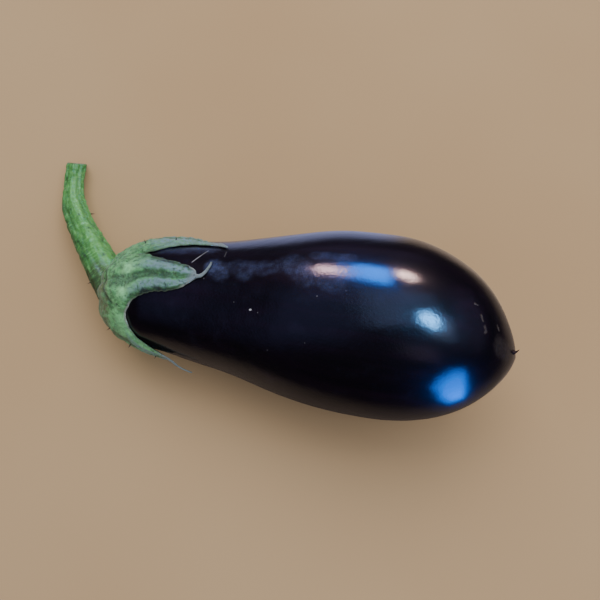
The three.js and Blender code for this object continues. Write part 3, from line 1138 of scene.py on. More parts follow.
@dataclass
class Fruit:
    """The fruit's skin."""

    form: FruitForm
    rows: int = 330
    sides: int = 280
    unevenness: float = 0.09
    dimples: float = 0.008

    def build(self) -> Object:
        """Builds the skin as one closed surface, pressed flat where it rests.

        Returns:
            The piece.
        """
        ways = np.linspace(0, self.form.skin_length, self.rows + 1)[1:-1]
        angles = np.arange(self.sides) * 360 / self.sides
        way, angle = (grid.ravel() for grid in np.meshgrid(ways, angles, indexing="ij"))
        way = np.concatenate([way, [0.0, self.form.skin_length]])
        angle = np.concatenate([angle, [0.0, 0.0]])
        smooth_skin = self.form.over_skin(way, angle, 0.0)
        near_ends = smooth(way, 0, 12) * smooth(self.form.skin_length - way, 0, 12)
        height = self.unevenness * ripple(smooth_skin, 38.0, 3) + self.dimples * ripple(smooth_skin, 7.0, 4)
        points = self.form.over_skin(way, angle, height * near_ends)
        points[:, 2] = np.maximum(points[:, 2], 0)
        # Each face starts at its next corner, so that the quads split along the other diagonal.
        faces = [(*face[1:], face[0]) for face in tube_faces(len(ways), self.sides)]
        made = smooth_piece("fruit_skin", points * MM, faces)
        keep_values(made, "to_end", np.linalg.norm(points - points[-1], axis=1) * MM)
        keep_values(made, "chart", self.form.chart(way, angle))
        return made


# ---- The calyx


@dataclass(frozen=True)
class Lobe:
    """One lobe of the calyx: its edges from the crotches to the tip and the dry tip's own line.

    Edge points are millimetres from the stem end and degrees. The left edge has the larger angle.
    """

    left: Line
    right: Line
    tip_line: Line
    tip_widths: Pair
    lift: Pair
    thickness: float
    swell: float = 0.0
    thin_cap: bool = False
    mean_radius: float = 33.0

    def tip_edges(self) -> tuple[list[Pair], list[Pair]]:
        """Both edges of the dry tip.

        Returns:
            The left and the right edge points.
        """
        per_degree = math.radians(1) * self.mean_radius
        line = np.array(self.tip_line) * [1, per_degree]
        share = np.linspace(0, 1, len(line))
        place = spline(line, share)
        run = spline(line, np.minimum(share + 1e-3, 1)) - spline(line, np.maximum(share - 1e-3, 0))
        run /= np.linalg.norm(run, axis=1, keepdims=True)
        half = (self.tip_widths[0] + (self.tip_widths[1] - self.tip_widths[0]) * share)[:, None] / 2
        across = np.column_stack([-run[:, 1], run[:, 0]])
        left = (place + across * half) / [1, per_degree]
        right = (place - across * half) / [1, per_degree]
        return [tuple(p) for p in left], [tuple(p) for p in right]


TOP_TO_MIDDLE = (38.4, 59.4)
MIDDLE_TO_LOWER = (38.1, 126.0)
LOWER_TO_UNDER = (38.5, 208.0)
UNDER_TO_BACK = (39.0, 286.0)
BACK_TO_TOP = (39.0, 346.0)

TOP_LOBE = Lobe(
    left=(TOP_TO_MIDDLE, (41.5, 57.9), (46.2, 54.6), (51.2, 49), (58, 43.6), (66.3, 42), (75.1, 44.6)),
    right=(BACK_TO_TOP, (41, -8), (44, -1), (49, 5), (56, 12), (65, 27), (73.5, 38.6)),
    tip_line=((78.5, 43.2), (81.5, 46), (84.3, 48.8)),
    tip_widths=(2.8, 0.9),
    lift=(0.25, 0.3),
    thickness=1.6,
    swell=1.0,
    thin_cap=True,
)
MIDDLE_LOBE = Lobe(
    left=(
        MIDDLE_TO_LOWER, (39.6, 119), (42.7, 110), (47.5, 104),
        (54, 99.8), (60.6, 97.7), (66.5, 94.5), (71.2, 89),
    ),
    right=(
        TOP_TO_MIDDLE, (43.5, 61), (46.9, 63.5), (52.1, 66),
        (58, 68.3), (63.5, 70.6), (68.5, 73), (72.6, 76),
    ),
    tip_line=((74.6, 82), (77, 81), (78.9, 77), (79.9, 72), (80, 68)),
    tip_widths=(2.4, 0.8),
    lift=(0.2, 0.6),
    thickness=2.7,
)
LOWER_LOBE = Lobe(
    left=(LOWER_TO_UNDER, (40, 203), (43.5, 198), (48, 194), (53, 190), (57.5, 185)),
    right=(MIDDLE_TO_LOWER, (39, 137), (41, 148), (45, 156), (51, 162.5), (56, 167.5)),
    tip_line=((60.5, 177), (63.5, 180), (67, 182), (72.5, 184)),
    tip_widths=(3.2, 0.9),
    lift=(1.9, 5.0),
    thickness=2.3,
)


def like_middle_lobe(left: Pair, right: Pair, reach: float, lift: Pair, thickness: float) -> Lobe:
    """A lobe of the middle lobe's form between two other crotches.

    Args:
        left: The crotch with the larger angle.
        right: The other crotch.
        reach: Its length next to the middle lobe's.
        lift: How far its blade and its tip stand off the skin.
        thickness: Its thickness in the middle.

    Returns:
        The lobe.
    """

    def moved(point: Pair) -> Pair:
        """Carries a point of the middle lobe over.

        Args:
            point: The point.

        Returns:
            Its place in the new span.
        """
        share = (point[1] - TOP_TO_MIDDLE[1]) / (MIDDLE_TO_LOWER[1] - TOP_TO_MIDDLE[1])
        way = TOP_TO_MIDDLE[0] + (point[0] - TOP_TO_MIDDLE[0]) * reach
        return (way, right[1] + (left[1] - right[1]) * share)

    return Lobe(
        left=(left, *(moved(p) for p in MIDDLE_LOBE.left[1:])),
        right=(right, *(moved(p) for p in MIDDLE_LOBE.right[1:])),
        tip_line=tuple(moved(p) for p in MIDDLE_LOBE.tip_line[:3]),
        tip_widths=MIDDLE_LOBE.tip_widths,
        lift=lift,
        thickness=thickness,
    )


@dataclass
class CalyxSheet:
    """The calyx as a sheet over the skin: a value of each kind at each point, its faces and its edge loop.

    Across runs from -1 to 1 over a lobe. Along runs from -1 at the stem end over 0 at the lobe's root
    to 1 at its tip. Both set what the lobe's parts look like.
    """

    way: Array
    angle: Array
    lift: Array
    thickness: Array
    across: Array
    along: Array
    dry: Array
    faces: Faces
    edge: list[int]

    def ridges(self) -> Array:
        """How near points are to the two ridges, half-way between a lobe's middle and its margins."""
        return bell(np.abs(self.across) - 0.5, 0.26)

    def midlines(self) -> Array:
        """How near points are to a lobe's middle."""
        return bell(self.across, 0.22)

    def window(self, opens: Pair, closes: Pair) -> Array:
        """A soft mask between two angles, each given as where its side starts and ends."""
        return smooth(self.angle, *opens) * smooth(-self.angle, -closes[1], -closes[0])


class SheetRows:
    """The points and faces of a calyx sheet, gathered row by row."""

    def __init__(self) -> None:
        """Starts with no points."""
        keys = ("way", "angle", "lift", "thickness", "across", "along", "dry")
        self.values: dict[str, list[Array]] = {key: [] for key in keys}
        self.size = 0
        self.faces: Faces = []
        self.edge: list[int] = []

    def add(self, **values: Array | float) -> int:
        """Adds a row of points.

        Args:
            **values: A number for the whole row or for each point, where 0 is left out.

        Returns:
            The first point's number.
        """
        first = self.size
        self.size += len(values["way"])
        for key, kept in self.values.items():
            row = np.asarray(values.get(key, 0.0), float)
            kept.append(np.broadcast_to(row, len(values["way"])))
        return first

    def joined(self) -> CalyxSheet:
        """The sheet of all rows."""
        values = {key: np.concatenate(kept) for key, kept in self.values.items()}
        return CalyxSheet(**values, faces=self.faces, edge=self.edge)


def unwrapped(degrees: float, start: float, slack: float = 40.0) -> float:
    """An angle, a full turn on where it lies before the start by more than the slack."""
    return degrees + 360 if degrees < start - slack else degrees


@dataclass
class Calyx:
    """The calyx: a cap round the stem end and five lobes that lie on the skin."""

    form: FruitForm
    lobes: tuple[Lobe, ...] = (
        TOP_LOBE,
        MIDDLE_LOBE,
        LOWER_LOBE,
        like_middle_lobe(UNDER_TO_BACK, LOWER_TO_UNDER, 0.85, (0.05, 0.1), 2.5),
        like_middle_lobe(BACK_TO_TOP, UNDER_TO_BACK, 0.7, (0.1, 0.4), 2.2),
    )
    gap: float = 0.35
    cap_thickness: float = 4.2
    margin_thickness: float = 1.3
    tip_thickness: float = 0.9
    ridge: float = 0.45
    ridge_width: float = 0.22
    valley: float = 0.75
    valley_width: float = 0.2
    swell_reach: float = 0.3
    cap_edges: Pair = (0.45, 0.05)
    columns: int = 36
    evenness: float = 0.2
    cap_rows: int = 52
    rows_a_station: int = 7
    margin_round: float = 1.4
    margin_calm: float = 1.2
    edge_share: float = 0.2
    vein_height: float = 0.11
    vein_count: float = 17.0
    lump_heights: Pair = (0.12, 0.16)
    notch_depth: float = 0.7
    waver: Pair = (0.16, 0.3)
    crease_width: float = 1.1
    crease_by_stem: float = 0.9
    highlight_width: float = 3.5
    olive_shade_spread: float = 5.0
    felt_from: float = 0.3
    crease_line: Line = (
        (25.5, 60), (22.5, 68), (21, 78), (21, 90), (22, 102), (25.5, 110), (29.5, 118),
    )
    # Where the cap bulges: a painted highlight.
    highlight_line: Line = ((37, 102), (35.5, 93), (37, 87), (37.5, 80))
    laid: CalyxSheet = field(init=False)
    outer: Array = field(init=False)

    def thickness_of(self, lobe: Lobe, along: Array, across: Array, dry_from: float) -> Array:
        """How thick a lobe is, with its two ridges and the valley between them.

        Args:
            lobe: The lobe.
            along: Shares of the way to its tip.
            across: Places across it, from -1 to 1.
            dry_from: Where the dry tip starts.

        Returns:
            The thickness in millimetres.
        """
        taper = smooth(along, dry_from - 0.3, dry_from)
        middle = lobe.thickness + (self.tip_thickness - lobe.thickness) * taper
        margin = self.margin_thickness + (self.tip_thickness - self.margin_thickness) * taper
        body = middle + (margin - middle) * np.abs(across) ** 3
        body = body + lobe.swell * bell(along, self.swell_reach) * (1 - across * across)
        relief = (1 - taper) * (1 - across * across)
        ridges = self.ridge * bell(np.abs(across) - 0.5, self.ridge_width)
        return body + relief * (ridges - self.valley * bell(across, self.valley_width))

    def sheet(self) -> CalyxSheet:
        """Lays the cap's rings and the lobes' rows over the skin.

        Returns:
            The sheet.
        """
        rows = SheetRows()
        rim = self._lay_cap(rows)
        for number, lobe in enumerate(self.lobes):
            first = number * self.columns
            root = [rim[(first + j) % len(rim)] for j in range(self.columns + 1)]
            self._lay_lobe(rows, lobe, root)
        return rows.joined()

    def _shares(self) -> Array:
        """Places across a lobe from 0 to 1, which lie closer together towards its margins."""
        even = np.arange(self.columns + 1) / self.columns
        return self.evenness * even + (1 - self.evenness) * (0.5 - 0.5 * np.cos(math.pi * even))

    def _lay_cap(self, rows: SheetRows) -> list[int]:
        """Lays the cap's rings, from the stem end out to the lobes' roots.

        Args:
            rows: The rows, which the rings are added to.

        Returns:
            The point numbers of the last ring.
        """
        share = self._shares()[:-1]
        across = 2 * share - 1
        rim: dict[str, list[Array]] = {key: [] for key in ("way", "angle", "thickness", "edge")}
        for lobe in self.lobes:
            start, end = lobe.right[0], lobe.left[0]
            thinness = (1 - across**2) * lobe.thin_cap
            rim["way"].append(start[0] + (end[0] - start[0]) * share)
            rim["angle"].append(start[1] + (unwrapped(end[1], start[1]) - start[1]) * share)
            rim["thickness"].append(self.thickness_of(lobe, np.zeros(self.columns), across, 1.0))
            rim["edge"].append(self.cap_edges[0] + (self.cap_edges[1] - self.cap_edges[0]) * thinness)
        way, angle, thickness, edge = (np.concatenate(part) for part in rim.values())
        count = len(way)
        rows.add(way=np.zeros(1), thickness=self.cap_thickness)
        for k in range(1, self.cap_rows + 1):
            t = k / self.cap_rows
            thick = self.cap_thickness + (thickness - self.cap_thickness) * smooth(np.full(count, t), edge, 1)
            ring_across = np.tile(across, len(self.lobes))
            first = rows.add(way=way * t, angle=angle, thickness=thick, across=ring_across, along=t - 1.0)
            for j in range(count):
                n = (j + 1) % count
                inner = (first - count + j, first - count + n) if k > 1 else (0,)
                rows.faces.append((*inner, first + n, first + j))
        return list(range(first, first + count))

    def _lay_lobe(self, rows: SheetRows, lobe: Lobe, root: list[int]) -> None:
        """Lays a lobe's rows, from the cap's rim to its tip.

        Args:
            rows: The rows, which the lobe's are added to, and its outline to their edge.
            lobe: The lobe.
            root: The rim's points that it grows from.
        """
        share = self._shares()
        tip_left, tip_right = lobe.tip_edges()
        start = lobe.right[0][1]
        sides = [
            np.array([(way, unwrapped(degrees, start)) for way, degrees in points])
            for points in ((*lobe.right, *tip_right), (*lobe.left, *tip_left))
        ]
        stations = len(sides[0]) - 1
        last = stations * self.rows_a_station
        dry_from = (len(lobe.left) - 1) / stations
        previous = root
        right_edge, left_edge = [root[0]], []
        for i in range(1, last + 1):
            along = np.array([i / last])
            right, left = (spline(side, along)[0] for side in sides)
            rise = lobe.lift[0] * smooth(along, 0.2, dry_from)
            curl = (lobe.lift[1] - lobe.lift[0]) * smooth(along, dry_from - 0.05, 1)
            first = rows.add(
                way=right[0] + (left[0] - right[0]) * share,
                angle=right[1] + (left[1] - right[1]) * share,
                lift=rise + curl,
                thickness=self.thickness_of(lobe, along, 2 * share - 1, dry_from),
                across=2 * share - 1,
                along=along,
                dry=smooth(along, dry_from - 0.12, dry_from + 0.1),
            )
            row = list(range(first, rows.size))
            for j in range(self.columns):
                rows.faces.append((previous[j], previous[j + 1], row[j + 1], row[j]))
            previous = row
            right_edge.append(row[0])
            left_edge.insert(0, row[-1])
        rows.edge += [*right_edge, *previous[1:-1], *left_edge]

    def build(self, stem: "Stem") -> Object:
        """Builds the calyx as a closed shell with a rounded margin, veins and a crease beside the stem.

        Args:
            stem: The stem that leaves it.

        Returns:
            The piece.
        """
        sheet = self.sheet()
        flat = self.form.over_skin(sheet.way, sheet.angle, self.gap)
        margin = distance_to_line(flat, flat[[*sheet.edge, sheet.edge[0]]])
        fold = self._near(flat, self.crease_line, self.crease_width)
        free = smooth(sheet.along, -0.1, 0.1) * (1 - sheet.dry)
        way = sheet.way + self.waver[0] * free * ripple(flat, 4.5, 11)
        angle = sheet.angle + self.waver[1] * free * ripple(flat, 3.6, 12)
        outer = self._outer_heights(sheet, flat, margin) - fold
        top = self.form.over_skin(way, angle, outer)
        under = self.form.over_skin(way, angle, self.gap + sheet.lift)
        points = np.vstack([top, under])
        low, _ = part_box("calyx")
        points[:, 2] = np.maximum(points[:, 2], low.z / MM)
        made = smooth_piece("calyx_leaves", points * MM, self._shell_faces(sheet))
        # Painted shade in the crease beside the stem and where the calyx meets the stem.
        crease = np.maximum(0.9 * fold, bell(np.maximum(stem.gap_to(top), 0), self.crease_by_stem))
        for name, values in self._looks(sheet, flat, margin).items():
            keep_values(made, name, np.tile(values, 2))
        keep_values(made, "crease", np.tile(crease, 2))
        # Marks the underside for its painted shade.
        keep_values(made, "inner", np.repeat([0.0, 1.0], len(top)))
        keep_values(made, "felt", np.concatenate([(margin > self.felt_from) * 1.0, np.zeros(len(top))]))
        keep_values(made, "chart", np.tile(self.form.chart(sheet.way, sheet.angle), (2, 1)))
        self.laid, self.outer = sheet, outer
        return made

    def foot(self, way: float, degrees: float) -> tuple[Array, Array]:
        """The place and the outward direction on the built calyx nearest to a distance and an angle.

        Args:
            way: Millimetres from the stem end along the skin.
            degrees: The angle round the fruit.

        Returns:
            The place in millimetres and the unit direction.
        """
        turn = (self.laid.angle - degrees + 180) % 360 - 180
        nearest = int(np.argmin(np.hypot(self.laid.way - way, turn / 2)))
        at = (np.full(2, self.laid.way[nearest]), np.full(2, self.laid.angle[nearest]))
        place, above = self.form.over_skin(*at, self.outer[nearest] + np.array([0.0, 1.0]))
        return place, (above - place) / np.linalg.norm(above - place)

    def _outer_heights(self, sheet: CalyxSheet, flat: Array, margin: Array) -> Array:
        """How far the outer side stands off the skin, with its veins, lumps, furrows and notches.

        Args:
            sheet: The calyx's sheet.
            flat: Its points on the skin.
            margin: How far they are from its edge.

        Returns:
            The heights in millimetres.
        """
        rounding = np.sqrt(np.clip(1 - (1 - np.minimum(margin / self.margin_round, 1)) ** 2, 0, 1))
        body = sheet.thickness * (self.edge_share + (1 - self.edge_share) * rounding)
        on_lobe = smooth(sheet.along, -0.5, 0.15)
        on_cap = smooth(sheet.along, -0.85, -0.5) * (1 - smooth(sheet.along, -0.5, 0.0))
        lines = np.cos(sheet.across * self.vein_count + 1.5 * ripple(flat, 14.0, 13))
        veins = self.vein_height * lines * on_lobe * (1 - sheet.dry)
        lumps = self.lump_heights[0] * ripple(flat, 2.2, 14) + self.lump_heights[1] * ripple(flat, 6.0, 15)
        furrows = on_cap * (1 - sheet.across**2) * (0.5 * sheet.ridges() - 0.8 * sheet.midlines())
        notches = self.notch_depth * on_cap * bell(1 - np.abs(sheet.across), 0.3)
        inside = np.minimum(margin / self.margin_calm, 1)
        relief = inside * (veins + lumps * (1 - 0.6 * sheet.dry) + furrows - notches)
        return self.gap + sheet.lift + body + relief

    def _looks(self, sheet: CalyxSheet, flat: Array, margin: Array) -> dict[str, Array]:
        """The values that the finish reads, at each point of the sheet.

        Args:
            sheet: The calyx's sheet.
            flat: Its points on the skin.
            margin: How far they are from its edge.

        Returns:
            The values by name.
        """
        scallop = smooth(sheet.angle, 106, 116) * (1 - smooth(sheet.angle, 128, 152)) * (sheet.way < 52)
        drying = smooth(sheet.dry, 0.0, 0.3) * (1 - smooth(sheet.dry, 0.6, 1.0))
        tip = drying * (np.abs(sheet.angle - 85) < 25)
        lip = np.maximum(bell(margin, 0.32) * scallop, bell(margin, 0.6) * tip)
        ways, turns = np.array(self.crease_line).T
        # Olive painted shade on the calyx's side next to the stem and on its lower side near the stem end.
        reach = np.interp(sheet.angle, turns, ways) + self.olive_shade_spread * sheet.window((75, 95), (106, 120))
        beside = smooth(reach - sheet.way, 0, 4) * smooth(sheet.angle, 58, 75)
        below = smooth(sheet.angle, 128, 150) * smooth(-sheet.way, -33, -20)
        low = sheet.window((116, 126), (190, 205)) * smooth(sheet.way, 30, 34)
        # The top lobe, which faces the window, gets painted light: ridge and lip colour and less flank shade.
        # The lower lobe gets a little less flank shade too.
        high = smooth(sheet.along, -0.1, 0.5) * smooth(sheet.angle, 370, 400)
        return {
            "across": np.abs(sheet.across) * (1 - np.maximum(0.3 * low, 0.5 * high)),
            "ridge": np.maximum(sheet.ridges(), 0.65 * high),
            "valley": sheet.midlines(),
            "lip": np.maximum(lip, 0.1 * high),
            "margin": margin * MM,
            "along": sheet.along,
            "dry": sheet.dry,
            "olive_shade": np.maximum(beside, below) * smooth(-sheet.angle, -230, -200),
            "frost_and_highlight": np.maximum(0.3 * low, 0.9 * self._near(flat, self.highlight_line, self.highlight_width)),
        }

    def _near(self, flat: Array, line: Line, width: float) -> Array:
        """How close points are to a line on the sheet.

        Args:
            flat: The points.
            line: The line's own points.
            width: Where the closeness fades.

        Returns:
            Shares from 0 to 1.
        """
        corners = np.array(line)
        fine = spline(corners, np.linspace(0, 1, 60))
        path = self.form.over_skin(fine[:, 0], fine[:, 1], self.gap)
        return bell(distance_to_line(flat, path), width)

    @staticmethod
    def _shell_faces(sheet: CalyxSheet) -> Faces:
        """Joins the outer side, the inner side and the wall along the edge.

        Args:
            sheet: The calyx's sheet.

        Returns:
            Corner numbers of each face.
        """
        size = len(sheet.way)
        faces = list(sheet.faces)
        faces += [tuple(size + c for c in reversed(f)) for f in sheet.faces]
        loop = sheet.edge
        ring = {tuple(sorted(pair)) for pair in zip(loop, loop[1:] + loop[:1])}
        for face in sheet.faces:
            for a, b in zip(face, face[1:] + face[:1]):
                if tuple(sorted((a, b))) in ring:
                    faces.append((b, a, size + a, size + b))
        return faces


# ---- The stem


@dataclass
class Stem:
    """The cut stem, which leaves the calyx, turns aside and droops towards the floor."""

    form: FruitForm
    line: tuple[Triple, ...] = (
        (1.2, -1, 29.5), (-5, 4, 30.2), (-11.6, 10.3, 29.2), (-17.9, 16.6, 26), (-25.7, 24.4, 22),
        (-33.3, 32.3, 18), (-40.3, 40.7, 14), (-45.7, 49.4, 10.8), (-48.9, 57.7, 8.6),
        (-51.2, 66, 7.1), (-52.6, 74.8, 6.6),
    )
    radii: tuple[float, ...] = (11.8, 10.3, 9.2, 8.8, 8.1, 7.4, 7.15, 6.15, 5.5, 5.45, 5.75)
    rib_count: int = 5
    rib_height: float = 0.42
    rib_turn: float = 0.6
    fine_count: int = 13
    fine_height: float = 0.12
    streak_height: float = 0.07
    wrinkle_height: float = 0.045
    lump_height: float = 0.13
    lenticel_height: float = 0.16
    scar_depth: float = 0.14
    scar_from_end: float = 19.5
    even_radius: float = 7.5
    end_bevel: float = 0.5
    end_wear: float = 1.2
    end_rings: tuple[Triple, ...] = (
        (1.0, 0.0, 0.6), (0.93, 0.16, 1.0), (0.82, 0.02, 1.0), (0.62, -0.22, 1.0),
        (0.36, -0.3, 1.0), (0.15, -0.34, 1.0),
    )
    cut_normal: Triple = (-0.1, 0.905, 0.41)
    cut_reach: float = 0.15
    sides: int = 176
    rows: int = 420
    line_steps: int = 120
    felt_from: float = 0.16
    lenticel_count: int = 46
    shaded_way: Triple = (-0.8, -0.48, 0.36)
    highlight_way: Triple = (0.42, 0.15, 0.9)
    gap_stride: int = 6
    seed: int = 21

    def __post_init__(self) -> None:
        """Runs a smooth line through the given points and carries a frame along it without twist."""
        fine, shares = self._fine_line()
        ways = ways_along(fine)
        self.length = float(ways[-1])
        even = np.linspace(0, self.length, self.rows + 1)
        self.centres = np.column_stack([np.interp(even, ways, fine[:, k]) for k in range(3)])
        self.tangents = np.gradient(self.centres, axis=0)
        self.tangents /= np.linalg.norm(self.tangents, axis=1, keepdims=True)
        first = self.tangents[0]
        side = np.cross(first, np.eye(3)[int(np.argmin(np.abs(first)))])
        normals = [np.cross(first, side / np.linalg.norm(side))]
        for tangent in self.tangents[1:]:
            normal = normals[-1] - (normals[-1] @ tangent) * tangent
            normals.append(normal / np.linalg.norm(normal))
        self.normals = np.array(normals)
        self.binormals = np.cross(self.tangents, self.normals)
        radii = np.column_stack([np.arange(len(self.radii)), self.radii])
        self.row_radii = spline(radii, np.interp(even, ways, shares))[:, 1]

    def _fine_line(self) -> tuple[Array, Array]:
        """A centripetal Catmull-Rom curve through the given points, which has no loops.

        Returns:
            Its points, and the share of the given points that each has passed.
        """
        knots = np.array(self.line, float)
        padded = np.vstack([2 * knots[0] - knots[1], knots, 2 * knots[-1] - knots[-2]])
        gaps = np.linalg.norm(np.diff(padded, axis=0), axis=1) ** 0.5
        pieces, shares = [], []
        t = np.arange(self.line_steps)[:, None] / self.line_steps
        for i in range(len(knots) - 1):
            x0, x1, x2, x3 = padded[i : i + 4]
            d0, d1, d2 = gaps[i : i + 3]
            leave = ((x1 - x0) / d0 - (x2 - x0) / (d0 + d1) + (x2 - x1) / d1) * d1
            arrive = ((x2 - x1) / d1 - (x3 - x1) / (d1 + d2) + (x3 - x2) / d2) * d1
            cubic = 2 * x1 - 2 * x2 + leave + arrive
            square = -3 * x1 + 3 * x2 - 2 * leave - arrive
            pieces.append(cubic * t**3 + square * t**2 + leave * t + x1)
            shares.append((i + t[:, 0]) / (len(knots) - 1))
        return np.vstack([*pieces, knots[-1:]]), np.concatenate([*shares, [1.0]])

    def gap_to(self, points: Array) -> Array:
        """How far points are outside the stem's side.

        Args:
            points: The points, in millimetres.

        Returns:
            The distances, which are negative inside it.
        """
        gap = np.full(len(points), np.inf)
        centres = self.form.to_row(self.centres[:: self.gap_stride])
        for centre, radius in zip(centres, self.row_radii[:: self.gap_stride]):
            gap = np.minimum(gap, np.linalg.norm(points - centre, axis=1) - radius)
        return gap

    def place(self, row: int, angle: float, radius: float) -> Array:
        """A point round the stem's line, in millimetres in the row frame."""
        out = self.normals[row] * math.cos(angle) + self.binormals[row] * math.sin(angle)
        return self.form.to_row(self.centres[row] + out * radius)

    def build(self) -> Object:
        """Builds the stem with its ribs, wrinkles, lenticels and cut end.

        Returns:
            The piece.
        """
        rings = np.vstack([np.tile((1.0, 0.0, 0.0), (self.rows + 1, 1)), self.end_rings])
        ring, angle = tube_grid(np.arange(len(rings)), self.sides)
        shrink, beyond, cut = rings[ring].T
        row = np.minimum(ring, self.rows)
        t = row / self.rows
        turned = np.column_stack([t * self.length, *polar(self.even_radius, angle)])
        outward = self.normals[row] * np.cos(angle)[:, None] + self.binormals[row] * np.sin(angle)[:, None]
        ribs = np.cos(self.rib_count * angle + self.rib_turn * t * math.pi)
        fine = np.cos(self.fine_count * angle)
        streaks = ripple(turned * [0.22, 1, 1], 2.0, 5)
        dark, pale = self._flecks(turned)
        scar_way = self.length - self.scar_from_end
        scar_ring = bell(t * self.length - scar_way - 1.2 * np.cos(angle - 0.8), 0.9)
        nearly_cut = smooth(t, 1 - self.end_wear / self.length, 1)
        relief = (
            self.rib_height * ribs
            + self.fine_height * fine
            + self.streak_height * streaks
            + self.wrinkle_height * ripple(turned * [1, 0.25, 0.25], 1.5, 6) * smooth(t, 0.12, 0.3)
            + self.lump_height * ripple(turned, 4.5, 7)
            + (self.lenticel_height * dark - self.scar_depth * scar_ring)
        )
        radius = (self.row_radii[row] + relief - self.end_bevel * nearly_cut**3) * shrink
        offset = outward * radius[:, None]
        lean = (offset @ self.cut_normal) / (self.tangents[row] @ self.cut_normal)
        slant = smooth(t, 1 - self.cut_reach, 1) * lean
        root, tip = self.centres[:1], self.centres[-1:] + self.end_rings[-1][1] * self.tangents[-1:]
        points = self.centres[row] + offset + self.tangents[row] * (beyond - slant)[:, None]
        points = self.form.to_row(np.vstack([points, root, tip]))
        low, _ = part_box("stem")
        points[:, 2] = np.maximum(points[:, 2], low.z / MM)
        made = smooth_piece("stem_green", points * MM, tube_faces(len(rings), self.sides))
        side, crest_highlight, foot_shade = self._shades(t, outward)
        looks = {
            "ridge": 0.7 * ribs + 0.25 * fine + 0.25 * streaks,
            "cut": np.maximum(cut, 0.7 * nearly_cut**4),
            "side": side * (1 - cut),
            "foot_shade": foot_shade,
            "dark": dark * (1 - cut),
            # Pale flecks, the pale scar ring and the painted crest highlight.
            "pale": np.maximum(np.maximum(pale, 0.45 * scar_ring), crest_highlight) * (1 - cut),
            "felt": (t > self.felt_from) * (cut < 0.5) * 1.0,
        }
        for name, values in looks.items():
            keep_values(made, name, np.append(values, [float(name == "cut")] * 2))
        keep_values(made, "chart", np.vstack([turned, np.zeros((2, 3))]) * MM)
        return made

    def _shades(self, t: Array, outward: Array) -> tuple[Array, Array, Array]:
        """Where the stem gets painted shade on its shaded side and at its foot, and a painted highlight on
        its crest.

        Args:
            t: Shares of the way along it.
            outward: The directions out of its side.

        Returns:
            The three masks.
        """
        shaded = outward @ self.shaded_way
        # Painted shade on the side turned from the light, less along the stem, and darker towards the cut
        # end.
        side = bell(1 - shaded, 0.62) * (1 - 0.5 * smooth(t, 0.55, 0.8))
        side = np.maximum(side * (1 - smooth(t, 0.86, 0.97)), 0.4 * smooth(t, 0.72, 0.95))
        # A painted highlight along the crest that faces the light.
        crest_highlight = bell(1 - outward @ self.highlight_way, 0.1) * smooth(t, 0.12, 0.25) * (1 - smooth(t, 0.65, 0.95))
        # Painted shade at the foot, on the side turned from the light.
        foot_shade = (1 - smooth(t * self.length, 9, 17)) * smooth(shaded, -0.3, 0.4)
        return side, crest_highlight, foot_shade

    def _flecks(self, turned: Array) -> tuple[Array, Array]:
        """Scatters dark lenticels and pale flecks over the stem.

        Args:
            turned: Places on a straight stem of even width.

        Returns:
            How dark and how pale each place is, from 0 to 1.
        """
        draw = np.random.default_rng(self.seed)
        marks = []
        for count, stretch in ((self.lenticel_count, 1.8), (2 * self.lenticel_count, 2.6)):
            mask = np.zeros(len(turned))
            for _ in range(count):
                angle = draw.uniform(0, 2 * math.pi)
                way = draw.uniform(0.1, 0.99) * self.length
                size = draw.uniform(0.3, 0.7)
                centre = np.array([way, *polar(self.even_radius, angle)])
                off = (turned - centre) / [stretch * size, size, size]
                mask = np.maximum(mask, np.exp(-(off**2).sum(axis=1)))
            marks.append(mask)
        return marks[0], marks[1]


# ---- The dried flower rest


@dataclass
class FlowerRest:
    """The dry stub of the style, which stands in a small scar near the blossom end."""

    form: FruitForm
    way: float = 245.5
    degrees: float = 91.0
    length: float = 1.9
    bend: float = 1.7
    furrow_count: int = 7
    furrow_depth: float = 0.1
    roughness: float = 0.08
    raggedness: float = 0.25
    rows: int = 40
    sides: int = 48
    outline: Line = (
        (-0.5, 1.25), (0.0, 1.2), (0.2, 1.02), (0.4, 0.88), (0.8, 0.72), (1.2, 0.58), (1.6, 0.44),
        (1.9, 0.33),
    )

    def build(self) -> Object:
        """Builds the stub with a spread foot, furrows and a broken tip.

        Returns:
            The piece.
        """
        knots = np.array(self.outline)
        profile = spline(knots, np.linspace(0, 1, self.rows))
        height, radius = profile[:, 0], profile[:, 1]
        h, angle = tube_grid(height, self.sides)
        r = np.repeat(radius, self.sides)
        base = np.column_stack([*polar(r, angle), h])
        furrows = self.furrow_depth * np.cos(self.furrow_count * angle + h)
        r = r * (1 + furrows + self.roughness * ripple(base, 1.1, 31))
        ragged = self.raggedness * smooth(h, self.length - 0.5, self.length) * np.cos(3 * angle + 1)
        local = np.column_stack([*polar(r, angle), h + ragged])
        local = np.vstack([local, [0, 0, height[0]], [0, 0, height[-1] - 0.2]])
        local[:, 1] += self.bend * (np.clip(local[:, 2], 0, None) / self.length) ** 2
        at = (np.full(2, self.way), np.full(2, self.degrees))
        foot, above = self.form.over_skin(*at, np.array([0.1, 1.1]))
        turn = Vector((0, 0, 1)).rotation_difference(Vector(above - foot)).to_matrix()
        points = local @ np.array(turn).T + foot
        return smooth_piece("flower_rest", points * MM, tube_faces(self.rows, self.sides))


# ---- Prickles and hairs


